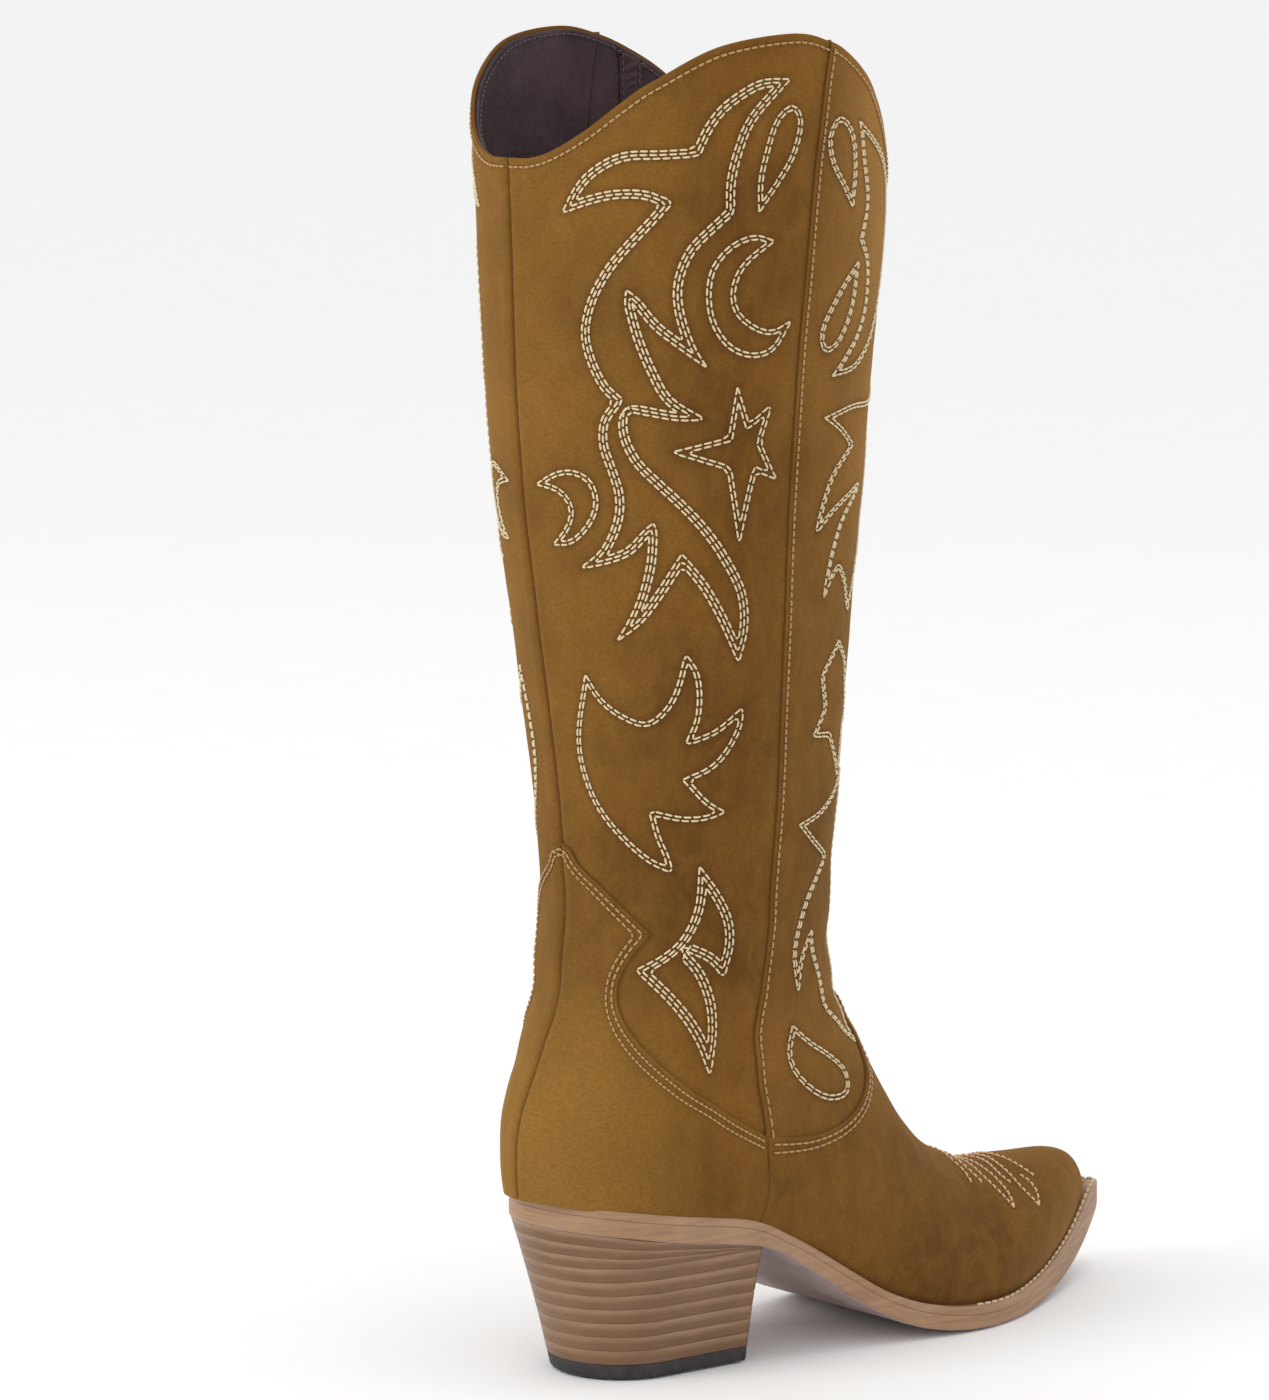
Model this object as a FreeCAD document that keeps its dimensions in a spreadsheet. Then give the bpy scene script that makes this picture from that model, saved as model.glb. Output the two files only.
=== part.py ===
import FreeCAD, Part
import math
import os
import Sketcher
from FreeCAD import Placement, Rotation, Vector

# A right cowboy boot: stacked leather heel, welted leather sole, suede upper of five panels,
# leather lining, stiffeners and a short zip on the medial side.
# +Z is up, -Y is forward (toe), +X is medial. The origin is the middle of the heel's rest face.

doc = FreeCAD.newDocument("cowboy_boot")

# ---------------------------------------------------------------- driving dimensions, mm and degrees
DIMENSIONS = {
    "heel_centre": 43.0,          # forward distance from the back of the sole to the origin
    "leather_thickness": 1.4,
    "tape_thickness": 0.6,
    "stiffener_thickness": 1.0,
    "lining_shaft": 1.3,
    "lining_foot": 2.0,
    "strip_thickness": 0.9,
    "seam_strip_width": 8.0,
    "seam_strip_forward": 91.0,
    "welt_thickness": 3.0,
    "insole_thickness": 2.5,
    "sock_thickness": 1.0,
    "sole_inset_wide": 0.76,
    "sole_inset_long": 0.91,
    "cutter_width": 200.0,
    "top_lift_height": 5.0,
    "lift_height": 4.75,
    "heel_height": 70.0,
    "heel_bottom_radius": 23.0,
    "heel_bottom_back": 15.5,
    "heel_bottom_breast": 70.6,
    "heel_bottom_half": 24.5,
    "heel_top_radius": 34.7,
    "heel_top_back": -4.2,
    "heel_top_breast": 73.2,
    "heel_top_half": 37.9,
    "shank_width": 13.0,
    "shank_thickness": 1.2,
    "shank_length": 108.0,
    "shank_front": 136.0,
    "shank_above_outsole": 0.9,
    "screw_radius": 2.2,
    "screw_head_radius": 4.5,
    "screw_bottom": 14.0,
    "screw_top": 54.0,
    "screw_head_height": 3.0,
    "nail_radius": 1.1,
    "nail_bottom": 30.0,
    "nail_length": 22.0,
    "nail_ring": 19.0,
    "nail_ring_back": 5.0,
    "tip_nail_radius": 0.8,
    "tip_nail_bottom": 0.0,
    "tip_nail_top": 13.0,
    "tip_nail_ring": 15.0,
    "tip_nail_ring_back": 2.0,
    "zip_forward": 68.0,
    "zip_bottom_height": 82.0,
    "zip_bottom_half": 37.1,
    "zip_tilt": 3.43,
    "zip_length": 166.0,
    "zip_gap_half": 5.0,
    "tape_half": 14.0,
    "tooth_pitch": 2.5,
    "tooth_height": 1.1,
    "tooth_reach": 0.7,
    "tooth_back": 2.6,
    "tooth_top": 0.4,
    "tooth_depth": 2.0,
    "teeth_start": 4.0,
    "stop_height": 3.2,
    "stop_width": 1.8,
    "top_stop_height": 3.5,
    "slider_rest": 157.0,
    "slider_length": 10.0,
    "slider_width": 8.6,
    "slider_plate": 1.2,
    "slider_gap": 0.3,
    "flange_width": 0.9,
    "flange_depth": 1.0,
    "bail_width": 1.8,
    "bail_length": 8.2,
    "bail_height": 3.5,
    "bail_bar": 1.2,
    "tab_width": 7.0,
    "tab_length": 30.0,
    "tab_thickness": 1.2,
    "tab_slot_width": 3.2,
    "tab_slot_length": 6.0,
    "tab_crossbar": 1.3,
    "tab_offset": 1.65,
}

sheet = doc.addObject("Spreadsheet::Sheet", "Dimensions")
for row, (alias, number) in enumerate(DIMENSIONS.items(), start=1):
    sheet.set("A%d" % row, alias)
    sheet.set("B%d" % row, str(number))
    sheet.setAlias("B%d" % row, alias)
doc.recompute()


def size(alias):
    return float(sheet.get(alias))


def at(across, forward, height):
    return Vector(across, size("heel_centre") - forward, height)


# ---------------------------------------------------------------- the last: the upper's outer surface
# Each station is a tilted section from a back point to a front point.
# back forward, back height, front forward, front height, half width lateral and medial, centre, belly
STATIONS = (
    (-9.5, 440, 136, 440, 58.5, 58.5, 0, 1),
    (-8.5, 405, 135.5, 405, 58, 58, 0, 1),
    (-6.5, 368, 134, 368, 56.5, 56.4, 0, 1),
    (-5, 330, 131, 330, 54, 53.6, 0, 1),
    (-2.5, 292, 128, 292, 51, 50.3, 0, 1),
    (2.5, 255, 124.8, 255, 48, 47.4, 0, 1),
    (8, 220, 122, 220, 45, 45.1, 0, 1),
    (12.5, 188, 119.8, 188, 42, 43, 0, 1),
    (15, 158, 117.5, 160, 40, 41.2, 0, 1),
    (13.5, 132, 117, 138, 38.5, 39.7, 0, 1),
    (7, 110, 119.5, 121, 37.5, 38.6, 0, 1),
    (-2, 90, 125.5, 110, 37, 37.8, 0, 1),
    (-5, 69, 131.5, 101, 37, 37.1, 0, 1),
    (2.5, 46, 137.5, 92.5, 37, 37, 0, 1.03),
    (29, 41, 144, 82, 36.5, 36.5, 0, 1.1),
    (56, 35, 151.5, 71, 36, 35.5, 0, 1.2),
    (84, 27, 160.5, 60.5, 36.5, 35, 0, 1.35),
    (110, 14, 172, 51.5, 38.5, 36, 0, 1.5),
    (135, 3, 186, 46.5, 41, 38, 0.5, 1.65),
    (161, -1, 203, 45.5, 40.5, 37.5, 1.5, 1.7),
    (187, 0, 218, 44.8, 33.5, 31.5, 3, 1.7),
    (211, 5, 231, 44.2, 23.5, 23, 4.5, 1.6),
    (230, 12, 240.5, 41.5, 14.5, 14.5, 5.5, 1.4),
    (241.5, 19, 245.5, 37, 8.5, 8.5, 6, 1.2),
    (247, 25, 248.3, 31.5, 3.5, 3.5, 6, 1),
)
LAST_STATION = len(STATIONS) - 1
AROUND = 28                       # points round each section
FOOT_START, FOOT_END = 9.0, 11.0  # stations between which the layers thicken from shaft to foot


def natural_spline(values):
    """Second derivatives of the natural cubic spline through evenly spaced values."""
    bends = [0.0] * len(values)
    for _ in range(60):
        for i in range(1, len(values) - 1):
            pull = 6 * (values[i + 1] - 2 * values[i] + values[i - 1])
            bends[i] = (pull - bends[i - 1] - bends[i + 1]) / 4
    return bends


COLUMNS = [list(column) for column in zip(*STATIONS)]
BENDS = [natural_spline(column) for column in COLUMNS]


def station(v):
    i = min(max(int(v), 0), LAST_STATION - 1)
    t = v - i
    r = 1 - t
    return [r * c[i] + t * c[i + 1] + ((r ** 3 - r) * b[i] + (t ** 3 - t) * b[i + 1]) / 6
            for c, b in zip(COLUMNS, BENDS)]


def last_point(v, angle):
    """A point of the upper: angle 0 at the back or sole, +90 degrees lateral, 180 at the front."""
    back, back_z, front, front_z, lateral, medial, centre, belly = station(v)
    share = ((1 - math.cos(angle)) / 2) ** belly
    half = lateral if math.sin(angle) > 0 else medial
    return at(centre - half * math.sin(angle), back + (front - back) * share,
              back_z + (front_z - back_z) * share)


def inner_point(v, angle, depth, flat):
    """The point a depth inside the upper, square to it; flat keeps it in its own section."""
    step = 1e-3
    point = last_point(v, angle)
    along = last_point(v + step, angle) - last_point(v - step, angle)
    around = last_point(v, angle + step) - last_point(v, angle - step)
    normal = along.cross(around)
    if flat:
        chord = last_point(v, math.pi) - last_point(v, 0)
        section_normal = chord.cross(Vector(1, 0, 0)).normalize()
        normal = normal - section_normal * normal.dot(section_normal)
    return point - normal.normalize() * depth


def closed_poles(points):
    """Poles of the closed uniform cubic spline through points."""
    poles = list(points)
    count = len(points)
    for _ in range(40):
        poles = [(points[k] * 6 - poles[k - 1] - poles[(k + 1) % count]) * 0.25 for k in range(count)]
    return poles


def open_poles(points):
    """Poles of the clamped uniform cubic spline through points."""
    inner = list(points)
    for _ in range(60):
        middle = [(points[k] * 6 - inner[k - 1] - inner[k + 1]) * 0.25 for k in range(1, len(points) - 1)]
        inner = [points[0]] + middle + [points[-1]]
    start = (inner[0] * 2 + inner[1]) * (1 / 3)
    end = (inner[-1] * 2 + inner[-2]) * (1 / 3)
    return [points[0], start] + inner[1:-1] + [end, points[-1]]


def last_solid(name, shaft_depth, foot_depth, end):
    """The closed body inside the upper at a depth, from above the rim to the toe."""
    rows = []
    for i in range(LAST_STATION + 1):
        v = end * i / LAST_STATION
        blend = min(max((v - FOOT_START) / (FOOT_END - FOOT_START), 0), 1)
        depth = shaft_depth + (foot_depth - shaft_depth) * blend * blend * (3 - 2 * blend)
        flat = i in (0, LAST_STATION)
        ring = [inner_point(v, 2 * math.pi * k / AROUND, depth, flat) for k in range(AROUND)]
        rows.append(closed_poles(ring))
    poles = [open_poles([row[k] for row in rows]) for k in range(AROUND)]
    surface = Part.BSplineSurface()
    surface.buildFromPolesMultsKnots(
        poles, [1] * (AROUND + 1), [4] + [1] * (LAST_STATION - 1) + [4],
        [float(k) for k in range(AROUND + 1)], [float(i) for i in range(LAST_STATION + 1)],
        True, False, 3, 3)
    ends = [Part.Face(Part.Wire([surface.vIso(v).toShape()])) for v in (0.0, float(LAST_STATION))]
    solid = Part.makeSolid(Part.makeShell([surface.toShape()] + ends))
    solid.fix(1e-4, 1e-4, 1e-3)
    feature = doc.addObject("Part::Feature", name)
    feature.Shape = solid
    return feature


# ---------------------------------------------------------------- helpers
def common(name, *shapes):
    feature = doc.addObject("Part::MultiCommon", name)
    feature.Shapes = list(shapes)
    return feature


def cut(name, base, *tools):
    tool = tools[0]
    if len(tools) > 1:
        tool = doc.addObject("Part::MultiFuse", name + "_tools")
        tool.Shapes = list(tools)
    feature = doc.addObject("Part::Cut", name)
    feature.Base = base
    feature.Tool = tool
    return feature


def curve(points):
    """A smooth edge through points, or a straight one through two."""
    if len(points) == 2:
        return Part.LineSegment(*points).toShape()
    spline = Part.BSplineCurve()
    spline.interpolate(points)
    return spline.toShape()


def side_cutter(name, *runs):
    """A prism across the boot whose side view is the closed loop of smooth runs of (forward, height)."""
    edges = [curve([at(0, forward, height) for forward, height in run]) for run in runs]
    outline = doc.addObject("Part::Feature", name + "_outline")
    outline.Shape = Part.Wire(edges)
    prism = doc.addObject("Part::Extrusion", name)
    prism.Base = outline
    prism.Dir = Vector(1, 0, 0)
    prism.setExpression("LengthFwd", "Dimensions.cutter_width")
    prism.Symmetric = True
    prism.Solid = True
    return prism


def closed_side(name, top, corners):
    """A side cutter under or over one smooth run, closed by straight runs through corners."""
    loop = [top[-1]] + list(corners) + [top[0]]
    straight = [(loop[i], loop[i + 1]) for i in range(len(loop) - 1)]
    return side_cutter(name, top, *straight)


def box(name, sizes, corner):
    """A box whose three sizes are formulas of the sheet."""
    feature = doc.addObject("Part::Box", name)
    for side, formula in zip(("Length", "Width", "Height"), sizes):
        feature.setExpression(side, formula)
    feature.Placement = Placement(corner, Rotation())
    return feature


def cylinder(name, radius, height, base):
    feature = doc.addObject("Part::Cylinder", name)
    feature.setExpression("Radius", radius)
    feature.Height = height
    feature.Placement = Placement(base, Rotation())
    return feature


nodes = []


def node(feature, label):
    feature.Label = label
    nodes.append(feature)
    return feature


# ---------------------------------------------------------------- side view lines (forward, height)
FAR = 300
LOW = -40
RIM_LINE = ((-30, 390), (-8.5, 390), (-4.9, 392.7), (0.5, 399.5), (15.5, 415), (34, 425.3), (60, 429),
            (76, 426.2), (88, 421), (98.6, 413.8), (109, 402.3), (118, 390), (125, 381.5), (130, 378),
            (135, 376.5), (150, 376))
FEATHER_LINE = ((-30, 65.3), (0, 60.2), (35, 54.3), (66, 48.8), (82, 41.6), (95, 34.2), (109, 25.3),
                (122, 17.3), (135, 12), (150, 8.8), (168, 7.6), (185, 8.4), (203, 11.2), (222, 16.6),
                (240, 24), (262, 34.5))
SOLE_UNDERSIDE = ((-30, 56.5), (0, 51.4), (35, 45.4), (70, 39.4), (84, 33), (99, 23.3), (112, 14.6),
                  (128, 6), (143, 1.7), (160, 0), (178, 0), (195, 0.6), (216, 4), (241, 11.8), (265, 24))
FOXING_BACK = ((-40, 190), (8, 178), (15.5, 166), (21, 156.5), (28.5, 145.6))
FOXING_FRONT = ((28.5, 145.6), (22.5, 137.5), (18.3, 128), (18, 118), (24, 106.5), (40, 92.5),
                (54, 83.8), (68.5, 76.5), (90, 66))
VAMP_LINE = ((40, 84), (68.5, 76.5), (82, 73.3), (95, 73.4), (106, 76), (118, 80.5), (125, 86.5),
             (126.5, 94), (124, 102), (120.5, 108.5), (119.2, 113.5), (121, 117.3), (127, 119), (140, 120))
SIDE_SEAM = ((78.5, 450), (75.8, 425.6), (72.4, 408), (68.7, 377), (66.7, 346), (65.5, 314), (65.4, 283),
             (66.2, 251), (67.5, 219), (70, 186), (71.3, 153), (71.6, 120.6), (70.4, 90), (68.5, 76.5))
LOWER_SEAM = ((68.5, 76.5), (70, 66), (70.3, 56), (69.5, 46), (69, -10))


def raised(line, rise):
    return tuple((forward, height + rise) for forward, height in line)


above_rim = closed_side("above_rim", RIM_LINE, ((150, 480), (-30, 480)))
under_feather = closed_side("under_feather", FEATHER_LINE, ((262, LOW), (-30, LOW)))
INSOLE_TOP = raised(FEATHER_LINE, size("insole_thickness"))
SOCK_TOP = raised(INSOLE_TOP, size("sock_thickness"))
OUTSOLE_TOP = raised(FEATHER_LINE, -size("welt_thickness"))
under_insole_top = closed_side("under_insole_top", INSOLE_TOP, ((262, LOW), (-30, LOW)))
under_sock_top = closed_side("under_sock_top", SOCK_TOP, ((262, LOW), (-30, LOW)))
under_outsole_top = closed_side("under_outsole_top", OUTSOLE_TOP, ((262, LOW), (-30, LOW)))
under_sole = closed_side("under_sole", SOLE_UNDERSIDE, ((265, LOW), (-30, LOW)))

in_front = side_cutter("in_front", SIDE_SEAM, LOWER_SEAM, ((69, -10), (FAR, -10)),
                       ((FAR, -10), (FAR, 450)), ((FAR, 450), (78.5, 450)))
foxing_zone = side_cutter("foxing_zone", FOXING_BACK, FOXING_FRONT, ((90, 66), (90, LOW)),
                          ((90, LOW), (-40, LOW)), ((-40, LOW), (-40, 190)))
vamp_zone = side_cutter("vamp_zone", VAMP_LINE, ((140, 120), (FAR, 120)), ((FAR, 120), (FAR, LOW)),
                        ((FAR, LOW), (40, LOW)), ((40, LOW), (40, 84)))
counter_zone = closed_side("counter_zone", ((-40, 112), (10, 108), (30, 96), (50, 78), (62, 60), (66, 30)),
                           ((66, LOW), (-40, LOW)))
puff_zone = closed_side("puff_zone", ((200, 90), (206, 44), (214, 20), (226, LOW)), ((FAR, LOW), (FAR, 90)))
lateral_half = box("lateral_half", ("Dimensions.cutter_width", "2 * Dimensions.cutter_width",
                                    "3 * Dimensions.cutter_width"), Vector(-size("cutter_width"), -200, LOW))

# ---------------------------------------------------------------- upper, lining and stiffeners
outside = last_solid("outside", 0, 0, 24.0)
leather = size("leather_thickness")
under_leather = last_solid("under_leather", leather, leather, 23.6)
under_layer = last_solid("under_layer", leather + size("tape_thickness"),
                         leather + size("stiffener_thickness"), 23.2)
lining_depths = (leather + size("lining_shaft"), leather + size("lining_foot"))
inside = last_solid("inside", lining_depths[0], lining_depths[1], 22.8)
strip = size("strip_thickness")
under_strip = last_solid("under_strip", lining_depths[0] + strip, lining_depths[1] + strip, 22.4)

zip_place = Placement(at(size("zip_bottom_half"), size("zip_forward"), size("zip_bottom_height")),
                      Rotation(Vector(0, 1, 0), size("zip_tilt")))


def zip_box(name, low, high):
    """A box in the zip's frame: x out of the leather, y backward, z up the zip."""
    feature = doc.addObject("Part::Box", name)
    feature.Length = high[0] - low[0]
    feature.Width = high[1] - low[1]
    feature.Height = high[2] - low[2]
    feature.Placement = zip_place * Placement(Vector(*low), Rotation())
    return feature


ZIP_END = size("zip_length")
GAP = size("zip_gap_half")
TAPE = size("tape_half")
TEETH = size("tooth_back")
zip_gap = zip_box("zip_gap", (-20, -GAP, -2), (20, GAP, ZIP_END + 2))
lining_gap = zip_box("lining_gap", (-20, -TAPE - 0.2, -6), (20, TAPE + 0.2, ZIP_END + 6))
tape_front_zone = zip_box("tape_front_zone", (-20, -TAPE, -5.5), (20, -TEETH, ZIP_END + 5.5))
tape_back_zone = zip_box("tape_back_zone", (-20, TEETH, -5.5), (20, TAPE, ZIP_END + 5.5))
guard_zone = zip_box("guard_zone", (-20, -TAPE - 3, -8), (20, TAPE + 5, ZIP_END + 8))
seam_strip_zone = box("seam_strip_zone", ("100", "Dimensions.seam_strip_width", "200"),
                      at(0, size("seam_strip_forward"), size("zip_bottom_height") + ZIP_END + 9))

upper_wall = cut("upper_wall", outside, under_leather, above_rim, under_feather)
front_wall = common("front_wall", upper_wall, in_front)
back_wall = cut("back_wall", upper_wall, in_front)
node(common("vamp", front_wall, vamp_zone), "vamp")
node(cut("front_shaft_panel", front_wall, vamp_zone, zip_gap), "front_shaft_panel")
node(common("heel_foxing", back_wall, foxing_zone), "heel_foxing")
back_panels = cut("back_panels", back_wall, foxing_zone)
node(common("back_panel_lateral", back_panels, lateral_half), "back_panel_lateral")
node(cut("back_panel_medial", back_panels, lateral_half, zip_gap), "back_panel_medial")

layer_wall = cut("layer_wall", under_leather, under_layer)
foot_layer = cut("foot_layer", layer_wall, under_insole_top)
heel_counter = node(common("heel_counter", foot_layer, counter_zone), "heel_counter")
toe_puff = node(common("toe_puff", foot_layer, puff_zone), "toe_puff")
node(common("zip_tape_front", layer_wall, tape_front_zone), "zip_tape_front")
node(common("zip_tape_back", layer_wall, tape_back_zone), "zip_tape_back")

lining_wall = cut("lining_wall", under_leather, inside, above_rim, under_insole_top)
soft_lining = cut("soft_lining", lining_wall, heel_counter, toe_puff, lining_gap)
front_lining = common("front_lining", soft_lining, in_front)
back_lining = cut("back_lining", soft_lining, in_front)
node(common("vamp_lining", front_lining, vamp_zone), "vamp_lining")
node(cut("lining_front", front_lining, vamp_zone), "lining_front")
node(common("heel_lining", back_lining, foxing_zone), "heel_lining")
shaft_back_lining = cut("shaft_back_lining", back_lining, foxing_zone)
node(common("lining_back_lateral", shaft_back_lining, lateral_half), "lining_back_lateral")
node(cut("lining_back_medial", shaft_back_lining, lateral_half), "lining_back_medial")

strip_wall = cut("strip_wall", inside, under_strip, above_rim)
node(common("zip_guard", strip_wall, guard_zone), "zip_guard")
node(common("lining_seam_strip", strip_wall, seam_strip_zone), "lining_seam_strip")

# ---------------------------------------------------------------- sole
LATERAL_EDGE = ((0, 0), (2, -11), (9, -21.5), (20, -28.3), (34, -32), (50, -33.6), (72, -33.8), (95, -34),
                (115, -36), (135, -40), (152, -42.5), (166, -42), (180, -38.5), (196, -31.5), (212, -23.5),
                (228, -14.8), (243, -5.6), (254, 1.6), (258.6, 5.6))
MEDIAL_EDGE = ((258.6, 9), (255.5, 12), (247, 17), (235, 22.6), (218, 29.4), (200, 35.2), (182, 39.6),
               (165, 41),
               (148, 39.5), (130, 36), (112, 33), (95, 32.5), (72, 33.4), (50, 33.4), (34, 32), (20, 28.3),
               (9, 21.5), (2, 11), (0, 0))
TOE_TIP = ((258.6, 5.6), (259.6, 7.2), (258.6, 9))


def plan_prism(name, wide, long):
    """A tall prism whose plan is the sole's outline, scaled about the middle of the sole."""
    middle = (128, 1)

    def place(point):
        return at(middle[1] + (point[1] - middle[1]) * wide, middle[0] + (point[0] - middle[0]) * long, LOW)

    edges = [curve([place(point) for point in run]) for run in (LATERAL_EDGE, TOE_TIP, MEDIAL_EDGE)]
    outline = doc.addObject("Part::Feature", name + "_outline")
    outline.Shape = Part.Wire(edges)
    prism = doc.addObject("Part::Extrusion", name)
    prism.Base = outline
    prism.Dir = Vector(0, 0, 1)
    prism.setExpression("LengthFwd", "Dimensions.cutter_width")
    prism.Solid = True
    return prism


sole_plan = plan_prism("sole_plan", 1, 1)
filler_plan = plan_prism("filler_plan", size("sole_inset_wide"), size("sole_inset_long"))

# ---------------------------------------------------------------- heel
LIFTS_LEVEL = 7
LIFTS_WEDGE = 3


def heel_outline(name, height, back, breast, radius, half):
    """A half-round back that runs on in straight sides to a flat breast."""
    centre = back + radius
    left = at(-radius, centre, height)
    right = at(radius, centre, height)
    edges = [
        Part.Arc(left, at(0, back, height), right).toShape(),
        Part.LineSegment(right, at(half, breast, height)).toShape(),
        Part.LineSegment(at(half, breast, height), at(-half, breast, height)).toShape(),
        Part.LineSegment(at(-half, breast, height), left).toShape(),
    ]
    outline = doc.addObject("Part::Feature", name)
    outline.Shape = Part.Wire(edges)
    return outline


heel_block = doc.addObject("Part::Loft", "heel_block")
heel_block.Sections = [
    heel_outline("heel_bottom", 0, size("heel_bottom_back"), size("heel_bottom_breast"),
                 size("heel_bottom_radius"), size("heel_bottom_half")),
    heel_outline("heel_top", size("heel_height"), size("heel_top_back"), size("heel_top_breast"),
                 size("heel_top_radius"), size("heel_top_half")),
]
heel_block.Solid = True
heel_block.Ruled = True

# fasteners: one screw, a ring of nails in the seat and a ring of short nails in the rubber tip
screw_shaft = cylinder("screw_shaft", "Dimensions.screw_radius",
                       size("screw_top") - size("screw_bottom"), Vector(0, 0, size("screw_bottom")))
screw_head = doc.addObject("Part::Cone", "screw_head")
screw_head.setExpression("Radius1", "Dimensions.screw_radius")
screw_head.setExpression("Radius2", "Dimensions.screw_head_radius")
screw_head.setExpression("Height", "Dimensions.screw_head_height")
screw_head.Placement = Placement(Vector(0, 0, size("screw_top") - size("screw_head_height")), Rotation())
heel_screw = doc.addObject("Part::MultiFuse", "heel_screw")
heel_screw.Shapes = [screw_shaft, screw_head]
node(heel_screw, "heel_screw")


def nail_group(name, radius, bottom, height, places):
    nails = [cylinder("%s_%d" % (name, i + 1), radius, height, Vector(x, y, bottom))
             for i, (x, y) in enumerate(places)]
    group = doc.addObject("Part::Compound", name)
    group.Links = nails
    return node(group, name)


def ring(radius, back, turns):
    """Places on a ring whose centre is a distance behind the heel's centre."""
    return [(size(radius) * math.sin(math.radians(turn)),
             size(back) + size(radius) * math.cos(math.radians(turn))) for turn in turns]


SEAT_NAILS = ring("nail_ring", "nail_ring_back", (-100, -50, 0, 50, 100))
TIP_NAILS = ring("tip_nail_ring", "tip_nail_ring_back", (-130, -80, -27, 27, 80, 130))
heel_nails = nail_group("heel_nails", "Dimensions.nail_radius", size("nail_bottom"),
                        size("nail_length"), SEAT_NAILS)
tip_nails = nail_group("top_lift_nails", "Dimensions.tip_nail_radius", size("tip_nail_bottom"),
                       size("tip_nail_top") - size("tip_nail_bottom"), TIP_NAILS)
fasteners = doc.addObject("Part::Compound", "fasteners")
fasteners.Links = [heel_screw, heel_nails, tip_nails]

# level lifts, from the ground up, then wedges that fan up to the sloping seat
under_seat = common("under_seat", heel_block, under_sole)
SEAT_BACK, SEAT_BREAST, SEAT_LENGTH = 51.4, 39.4, 70  # heights of the sole's underside over the heel
BEHIND, AHEAD = -30, 100                              # forward reach of the cutters across the heel
level_tops = [size("top_lift_height") + size("lift_height") * i for i in range(LIFTS_LEVEL + 1)]


def fan_height(forward, i):
    """Height of the top of wedge i at a forward distance; wedge 0 has the last level lift's top."""
    seat = SEAT_BACK + (SEAT_BREAST - SEAT_BACK) / SEAT_LENGTH * forward
    return level_tops[-1] + (seat - level_tops[-1]) * i / LIFTS_WEDGE


def heel_slice(name, label, lower, upper):
    """The part of the heel between two straight lines of the side view, given at both ends."""
    loop = ((BEHIND, lower[0]), (AHEAD, lower[1]), (AHEAD, upper[1]), (BEHIND, upper[0]))
    slab = side_cutter(name + "_slab", *[(loop[i], loop[(i + 1) % 4]) for i in range(4)])
    piece = common(name + "_solid", under_seat, slab)
    return node(cut(name, piece, fasteners), label)


heel_slice("top_lift", "top_lift", (-1, -1), (level_tops[0], level_tops[0]))
for i in range(LIFTS_LEVEL):
    heel_slice("lift_%02d" % (i + 1), "heel_lift_%02d" % (i + 1),
               (level_tops[i], level_tops[i]), (level_tops[i + 1], level_tops[i + 1]))
for i in range(LIFTS_WEDGE):
    number = LIFTS_LEVEL + i + 1
    top = (fan_height(BEHIND, i + 1), fan_height(AHEAD, i + 1))
    if i == LIFTS_WEDGE - 1:
        top = (70, 60)
    heel_slice("lift_%02d" % number, "heel_lift_%02d" % number,
               (fan_height(BEHIND, i), fan_height(AHEAD, i)), top)

# sole layers
sole_layer = cut("sole_layer", sole_plan, under_sole)
outsole_solid = common("outsole_solid", sole_layer, under_outsole_top)
node(cut("outsole", outsole_solid, fasteners), "outsole")
welt_layer = common("welt_layer", cut("above_outsole", sole_plan, under_outsole_top), under_feather)
node(cut("welt", welt_layer, filler_plan), "welt")
shank_line = raised(OUTSOLE_TOP, size("shank_above_outsole"))
shank_zone = box("shank_zone", ("Dimensions.shank_width", "Dimensions.shank_length",
                                "Dimensions.heel_height"),
                 at(-size("shank_width") / 2, size("shank_front"), 0))
shank_slab = cut("shank_slab",
                 closed_side("under_shank_top", raised(shank_line, size("shank_thickness")),
                             ((262, LOW), (-30, LOW))),
                 closed_side("under_shank", shank_line, ((262, LOW), (-30, LOW))))
shank = node(cut("shank", common("shank_solid", shank_slab, shank_zone), fasteners), "shank")
node(cut("bottom_filler", common("filler_layer", welt_layer, filler_plan), shank, fasteners), "bottom_filler")
insole_layer = cut("insole_layer", common("insole_blank", under_leather, under_insole_top), under_feather)
node(cut("insole_board", insole_layer, fasteners), "insole_board")
sock_layer = cut("sock_layer", common("sock_blank", inside, under_sock_top), under_insole_top)
node(sock_layer, "sock_liner")


# ---------------------------------------------------------------- zip
def zip_group(name, boxes):
    group = doc.addObject("Part::Compound", name)
    group.Links = boxes
    return node(group, name)


pitch = size("tooth_pitch")
tooth_low = -size("tooth_top") - size("tooth_depth")
tooth_high = -size("tooth_top")
TEETH_COUNT = int((ZIP_END - 8 - size("teeth_start")) / pitch)
for side, label in ((-1, "zip_teeth_front"), (1, "zip_teeth_back")):
    teeth = []
    for i in range(TEETH_COUNT):
        bottom = size("teeth_start") + pitch * i + (pitch / 2 if side > 0 else 0)
        ends = sorted((-side * size("tooth_reach"), side * TEETH))
        teeth.append(zip_box("%s_%02d" % (label, i + 1), (tooth_low, ends[0], bottom),
                             (tooth_high, ends[1], bottom + size("tooth_height"))))
    zip_group(label, teeth)
stop_top = ZIP_END + 1
zip_group("zip_top_stops", [zip_box("top_stop_%d" % (i + 1),
                                    (tooth_low, y, stop_top - size("top_stop_height")),
                                    (tooth_high, y + size("stop_width"), stop_top))
                            for i, y in enumerate((-TEETH, TEETH - size("stop_width")))])
zip_group("zip_bottom_stop", [zip_box("bottom_stop_1", (tooth_low, -TEETH, 0),
                                      (tooth_high, TEETH, size("stop_height")))])


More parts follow.
